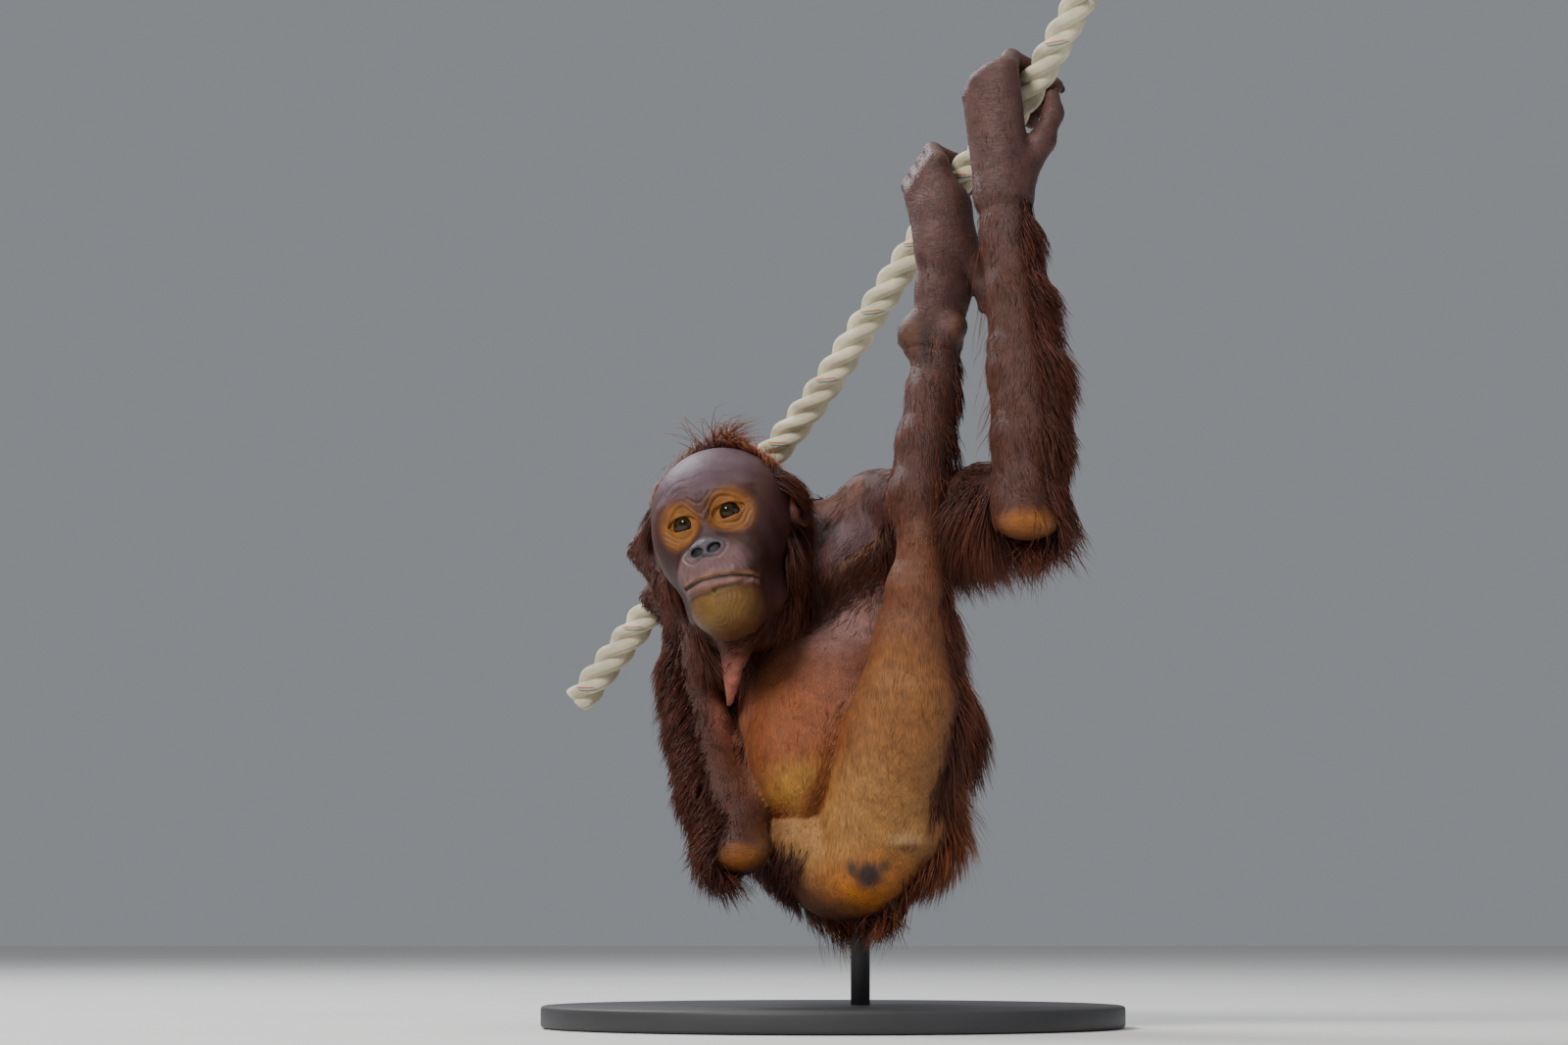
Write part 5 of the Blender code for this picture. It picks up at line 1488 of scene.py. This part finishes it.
groupParts = {
    # node: its kind, its mode where it has one, and its fixed values
    "mottle": {  # breaks a flat colour into lighter and darker patches
        "place": ("TexCoord", None, {}),
        "noise": ("TexNoise", None, {"Detail": 6.0}),
        "spread": ("MapRange", None, {"From Min": 0.3, "From Max": 0.7, "To Min": -1.0, "To Max": 1.0}),
        "scaled": ("Math", "MULTIPLY", {}),
        "lifted": ("Math", "ADD", {1: 1.0}),
        "mix": ("VectorMath", "SCALE", {}),
    },
    "creasedGrain": {  # small cells under a softer roll
        "place": ("TexCoord", None, {}),
        "cells": ("TexVoronoi", "DISTANCE_TO_EDGE", {}),
        "edge": ("Math", "MINIMUM", {1: 0.18}),
        "roll": ("TexNoise", None, {"Detail": 5.0}),
        "total": ("Math", "MULTIPLY_ADD", {1: 1.5}),
    },
    "shortFur": {  # fine lighter and darker streaks down the body, for the short hair that lies flat on the skin; the darker streaks are partly painted shade between the hairs
        "place": ("TexCoord", None, {}),
        "warp": ("TexNoise", None, {"Scale": 28.0}),
        "bend": ("VectorMath", "MULTIPLY_ADD", {1: (0.006, 0.006, 0.0)}),
        "stretch": ("VectorMath", "MULTIPLY", {1: (1100.0, 1100.0, 130.0)}),
        "streaks": ("TexNoise", None, {"Scale": 1.0, "Detail": 3.0}),
        "spread": ("MapRange", None, {"From Min": 0.34, "From Max": 0.66, "To Min": -1.0, "To Max": 0.7}),
        "amount": ("Math", "MULTIPLY", {}),
        "strong": ("Math", "MULTIPLY", {}),
        "lifted": ("Math", "ADD", {1: 1.0}),
        "tinted": ("VectorMath", "SCALE", {}),
    },
    "wrinkles": {  # fine wrinkles across hands, feet, wrists and elbows, their lines darkened as painted shade
        "place": ("TexCoord", None, {}),
        "stretch": ("VectorMath", "MULTIPLY", {1: (75.0, 75.0, 330.0)}),
        "rolls": ("TexNoise", None, {"Scale": 1.0, "Detail": 2.0, "Distortion": 0.6}),
        "middle": ("Math", "SUBTRACT", {1: 0.5}),
        "ridge": ("Math", "ABSOLUTE", {}),
        "spread": ("MapRange", None, {"From Min": 0.0, "From Max": 0.05, "To Min": -1.0, "To Max": 0.0}),
        "amount": ("Math", "MULTIPLY", {}),
        # painted shade: the colour darkens along the wrinkle lines
        "darker": ("Math", "MULTIPLY_ADD", {1: 0.20, 2: 1.0}),
        "tinted": ("VectorMath", "SCALE", {}),
    },
}


def buildGroup(name, inputs, outputs, wires):
    group = bpy.data.node_groups.new(name, "ShaderNodeTree")
    for label, value in inputs:
        kind = "NodeSocketColor" if value is None else "NodeSocketFloat"
        socket = group.interface.new_socket(label, in_out="INPUT", socket_type=kind)
        if value is not None:
            socket.default_value = value
    for label in outputs:
        kind = "NodeSocketColor" if label == "Colour" else "NodeSocketFloat"
        group.interface.new_socket(label, in_out="OUTPUT", socket_type=kind)
    made = {"start": group.nodes.new("NodeGroupInput"), "end": group.nodes.new("NodeGroupOutput")}
    for label, (kind, mode, values) in groupParts[name].items():
        made[label] = group.nodes.new("ShaderNode" + kind)
        if mode:
            setattr(made[label], "feature" if kind == "TexVoronoi" else "operation", mode)
        for socket, value in values.items():
            made[label].inputs[socket].default_value = value
    for source, output, target, entry in wires:
        group.links.new(made[source].outputs[output], made[target].inputs[entry])
    return group


mottle = buildGroup(
    "mottle", [("Colour", None), ("Scale", 60.0), ("Strength", 0.3)], ["Colour"],
    [
        ("place", "Object", "noise", "Vector"), ("start", "Scale", "noise", "Scale"),
        ("noise", "Fac", "spread", "Value"), ("spread", "Result", "scaled", 0),
        ("start", "Strength", "scaled", 1), ("scaled", 0, "lifted", 0), ("start", "Colour", "mix", 0),
        ("lifted", 0, "mix", "Scale"), ("mix", "Vector", "end", "Colour"),
    ],
)
creasedGrain = buildGroup(
    "creasedGrain", [("Cell Scale", 420.0), ("Roll Scale", 120.0)], ["Height"],
    [
        ("place", "Object", "cells", "Vector"), ("place", "Object", "roll", "Vector"),
        ("start", "Cell Scale", "cells", "Scale"), ("start", "Roll Scale", "roll", "Scale"),
        ("cells", "Distance", "edge", 0), ("edge", 0, "total", 0), ("roll", "Fac", "total", 2),
        ("total", 0, "end", "Height"),
    ],
)
shortFur = buildGroup(
    "shortFur", [("Colour", None), ("Amount", 1.0), ("Strength", 0.35)], ["Colour", "Height"],
    [
        ("place", "Object", "warp", "Vector"), ("warp", "Color", "bend", 0), ("place", "Object", "bend", 2),
        ("bend", "Vector", "stretch", 0), ("stretch", "Vector", "streaks", "Vector"),
        ("streaks", "Fac", "spread", "Value"), ("spread", "Result", "amount", 0),
        ("start", "Amount", "amount", 1), ("amount", 0, "strong", 0), ("start", "Strength", "strong", 1),
        ("strong", 0, "lifted", 0), ("start", "Colour", "tinted", 0), ("lifted", 0, "tinted", "Scale"),
        ("tinted", "Vector", "end", "Colour"), ("amount", 0, "end", "Height"),
    ],
)
wrinkles = buildGroup(
    "wrinkles", [("Colour", None), ("Amount", 1.0)], ["Colour", "Height"],
    [
        ("place", "Object", "stretch", 0), ("stretch", "Vector", "rolls", "Vector"),
        ("rolls", "Fac", "middle", 0), ("middle", 0, "ridge", 0), ("ridge", 0, "spread", "Value"),
        ("spread", "Result", "amount", 0), ("start", "Amount", "amount", 1), ("amount", 0, "darker", 0),
        ("start", "Colour", "tinted", 0), ("darker", 0, "tinted", "Scale"),
        ("tinted", "Vector", "end", "Colour"), ("amount", 0, "end", "Height"),
    ],
)


def finish(name, painted=True):
    # One material: painted or plain colour, mottled, with grain pressed in
    look = looks[name]
    material = bpy.data.materials.new(name)
    material.use_nodes = True
    nodes, links = material.node_tree.nodes, material.node_tree.links
    shader = nodes["Principled BSDF"]
    for socket, value in look["sockets"].items():
        shader.inputs[socket].default_value = value

    def place(kind, values, **settings):
        node = nodes.new("ShaderNode" + kind)
        for key, value in settings.items():
            setattr(node, key, value)
        for socket, value in values.items():
            node.inputs[socket].default_value = value
        return node

    patches = place("Group", {}, node_tree=mottle)
    patches.inputs["Scale"].default_value = look["mottleScale"]
    patches.inputs["Strength"].default_value = look["mottle"]
    if painted:
        paint = place("Attribute", {}, attribute_name="tint")
        links.new(paint.outputs["Color"], patches.inputs["Colour"])
    else:
        patches.inputs["Colour"].default_value = (*look["colour"], 1.0)
    colour = patches.outputs["Colour"]
    if look.get("bump"):
        grain = place("Group", {}, node_tree=creasedGrain)
        grain.inputs["Cell Scale"].default_value = look["cellScale"]
        grain.inputs["Roll Scale"].default_value = look["rollScale"]
        height = grain.outputs["Height"]
        layers = ()
        # The fur streaks and the wrinkle lines change the colour too: the wrinkle lines and the darker
        # streaks carry painted shade
        if look.get("fur"):
            layers = ((shortFur, "furry", look["furHeight"]), (wrinkles, "folded", look["foldHeight"]))
        for group, mask, tall in layers:
            amount = place("Attribute", {}, attribute_name=mask)
            layer = place("Group", {}, node_tree=group)
            if group == shortFur:
                layer.inputs["Strength"].default_value = look["fur"]
            links.new(amount.outputs["Fac"], layer.inputs["Amount"])
            links.new(colour, layer.inputs["Colour"])
            total = place("Math", {1: tall}, operation="MULTIPLY_ADD")
            links.new(layer.outputs["Height"], total.inputs[0])
            links.new(height, total.inputs[2])
            colour, height = layer.outputs["Colour"], total.outputs[0]
        bump = place("Bump", {"Strength": look["bump"], "Distance": look["bumpDepth"]})
        links.new(height, bump.inputs["Height"])
        links.new(bump.outputs["Normal"], shader.inputs["Normal"])
    links.new(colour, shader.inputs["Base Color"])
    return material


def dress(thing, material):
    thing.data.materials.clear()
    thing.data.materials.append(material)


looks = {
    "bareSkin": {
        "sockets": {"Roughness": 0.5, "Subsurface Weight": 0.08, "Subsurface Radius": (0.006, 0.002, 0.001),
                    "Subsurface Scale": 0.5, "Specular IOR Level": 0.38},
        "mottle": 0.22, "mottleScale": 110.0,
        "bump": 0.5, "bumpDepth": 0.0006, "cellScale": 760.0, "rollScale": 210.0,
        "fur": 0.30, "furHeight": 0.7, "foldHeight": 0.8,
    },
    "auburnCoat": {
        "sockets": {"Roughness": 0.45, "Specular IOR Level": 0.4}, "mottle": 0.22, "mottleScale": 45.0,
    },
    "wetEye": {
        "sockets": {"Roughness": 0.05, "Specular IOR Level": 0.34},
        "mottle": 0.15, "mottleScale": 400.0,
    },
    "darkNail": {
        "sockets": {"Roughness": 0.3}, "colour": shade(52, 38, 34), "mottle": 0.2, "mottleScale": 300.0,
    },
    "creamRope": {
        "sockets": {"Roughness": 0.75}, "mottle": 0.25, "mottleScale": 50.0,
        "bump": 0.7, "bumpDepth": 0.0006, "cellScale": 700.0, "rollScale": 300.0,
    },
    "greyPaint": {
        "sockets": {"Roughness": 0.55}, "colour": shade(58, 58, 60), "mottle": 0.06, "mottleScale": 30.0,
        "bump": 0.15, "bumpDepth": 0.0002, "cellScale": 900.0, "rollScale": 500.0,
    },
    "paleFloor": {
        "sockets": {"Roughness": 0.8}, "colour": shade(222, 222, 220), "mottle": 0.02, "mottleScale": 3.0,
    },
}
painted = [finish(name) for name in ("bareSkin", "auburnCoat", "wetEye", "creamRope")]
bareSkin, auburnCoat, wetEye, creamRope = painted
darkNail, greyPaint, paleFloor = [finish(name, False) for name in ("darkNail", "greyPaint", "paleFloor")]


fleshNodes = [
    "torso", "neck", "head", "rump", "ear_left", "ear_right", "upper_arm_left", "upper_arm_right",
    "forearm_left", "forearm_right", "thigh_left", "thigh_right", "shank_left", "shank_right",
    "hand_left", "hand_right", "foot_left", "foot_right",
]

skin = buildSkin()
skinPoints, skinNormals = readPoints(skin)
skinOwner = partOf(skinPoints)
skinPoints, creaseDepth = pressFaceLines(skinPoints, skinNormals)
skin.data.vertices.foreach_set("co", skinPoints.astype(np.float32).ravel())
skin.data.update()
coatCover = np.zeros(len(skinPoints))
for name, zone in coatZones.items():
    if zone["tones"] and name not in ("coatWisps", "coatLimbs"):
        coatCover = np.maximum(coatCover, zone["weight"](skinPoints, skinNormals, skinOwner))
skinColour = skinTint(skinPoints, skinNormals, skinOwner, creaseDepth, np.clip(coatCover, 0, 1))
paintPoints(skin, skinColour)
# Where the skin shows short fur and where it shows wrinkles; the wrinkle lines are painted shade and the
# darker fur streaks partly so
onGrip = np.isin(skinOwner, list(wristCuts))
furry = (1.0 - 0.65 * onGrip) * ~np.isin(skinOwner, ["head", "earLeft", "earRight"]) * elbowHold(skinPoints)
folded = np.maximum(onGrip * 1.0, 1.0 - elbowHold(skinPoints))
for name, low, high in (("forearmLeft", 0.55, 0.60), ("shankLeft", 0.46, 0.49)):
    folded = np.maximum(folded, 0.7 * (skinOwner == name) * smooth(low, high, skinPoints[:, 2]))
for name, amount in (("furry", furry), ("folded", folded)):
    skin.data.attributes.new(name, "FLOAT", "POINT").data.foreach_set("value", amount.astype(np.float32))
dress(skin, bareSkin)
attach(skin, "root")
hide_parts(*fleshNodes)
report("skin painted and creased")

skin.data.calc_loop_triangles()
corners = np.empty(len(skin.data.loop_triangles) * 3, dtype=np.int32)
skin.data.loop_triangles.foreach_get("vertices", corners)
corners = corners.reshape(-1, 3)
skinPoints, skinNormals = readPoints(skin)
one, two, three = [skinPoints[corners[:, k]] for k in range(3)]
areas = 0.5 * np.linalg.norm(np.cross(two - one, three - one), axis=1)
body = (skinPoints, skinNormals, corners, areas, skinOwner, skinColour)
for number, (name, zone) in enumerate(coatZones.items()):
    coat = growTufts(name, zone, body, 40 + number)
    dress(coat, auburnCoat)
    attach(coat, "root")
report("coat grown on %d areas" % len(coatZones))

for name, side, node in (("eyeLeft", 1, "eye_left"), ("eyeRight", -1, "eye_right")):
    eye = buildEye(name, side)
    dress(eye, wetEye)
    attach(eye, "root")
    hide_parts(node)

nails = buildNails()
dress(nails, darkNail)
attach(nails, "root")

rope = buildRope()
dress(rope, creamRope)
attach(rope, "root")
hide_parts("perch_rope")

standShape = {  # metres
    "baseProfile": [
        (0.0, 0.0), (0.2125, 0.0), (0.2143, 0.0007), (0.215, 0.0025), (0.215, 0.0135), (0.2143, 0.0153),
        (0.2125, 0.016), (0.0, 0.016),
    ],
    "rodPlace": (0.020, -0.012), "rodRadius": 0.007, "rodTop": 0.118,
}
standBase = turned("standBase", standShape["baseProfile"], (0.0, 0.0), 160)
reach, tall = standShape["rodRadius"], standShape["rodTop"]
rodProfile = [(0.0, 0.0165), (reach, 0.0165), (reach, tall), (0.0, tall)]
standRod = turned("standRod", rodProfile, standShape["rodPlace"], 48)
for piece, node in ((standBase, "stand_base"), (standRod, "stand_rod")):
    dress(piece, greyPaint)
    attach(piece, "root")
    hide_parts(node)
report("eyes, nails, rope and stand made")


studio = {
    "floorSize": 12.0, "worldColour": (0.80, 0.84, 0.90), "worldStrength": 0.30,
    "camera": (-0.036, -4.03, 0.10), "cameraTilt": 93.862, "lens": 125.28,
}
lamps = {
    # place, size, power, colour
    "keyLamp": ((-1.7, -2.0, 2.5), 1.1, 104.0, (1.0, 0.97, 0.93)),
    "fillLamp": ((2.2, -2.0, 1.0), 2.0, 9.0, (0.90, 0.95, 1.0)),
    "backLamp": ((-1.3, 1.7, 2.3), 1.2, 62.0, (0.94, 0.96, 1.0)),
    "topLamp": ((0.3, 0.4, 2.6), 1.4, 16.0, (1.0, 0.95, 0.88)),
}
half = studio["floorSize"] / 2
floorCorners = [(-half, -half, 0), (half, -half, 0), (half, half, 0), (-half, half, 0)]
floor = meshObject("floor", floorCorners, [(0, 1, 2, 3)], False)
floor.location.z = -0.0006
dress(floor, paleFloor)

for name, (place, size, power, colour) in lamps.items():
    light = bpy.data.lights.new(name, "AREA")
    light.shape = "DISK"
    light.size, light.energy, light.color = size, power, colour
    lamp = bpy.data.objects.new(name, light)
    lamp.location = place
    lamp.rotation_euler = (Vector((0.0, 0.0, 0.35)) - Vector(place)).to_track_quat("-Z", "Y").to_euler()
    bpy.context.scene.collection.objects.link(lamp)

world = bpy.data.worlds.new("studioWorld")
world.use_nodes = True
world.node_tree.nodes["Background"].inputs["Color"].default_value = (*studio["worldColour"], 1.0)
world.node_tree.nodes["Background"].inputs["Strength"].default_value = studio["worldStrength"]
bpy.context.scene.world = world

lens = bpy.data.cameras.new("photoCamera")
lens.lens, lens.sensor_width = studio["lens"], 36.0
photoCamera = bpy.data.objects.new("photoCamera", lens)
photoCamera.location = studio["camera"]
photoCamera.rotation_euler = (math.radians(studio["cameraTilt"]), 0.0, 0.0)
bpy.context.scene.collection.objects.link(photoCamera)
bpy.context.scene.camera = photoCamera

triangles = sum(len(polygon.vertices) - 2 for thing in bpy.data.objects if thing.type == "MESH"
                and thing.name in ("skin", "rope", "nails", *coatZones) for polygon in thing.data.polygons)
report("%d triangles in skin, coat, rope and nails" % triangles)
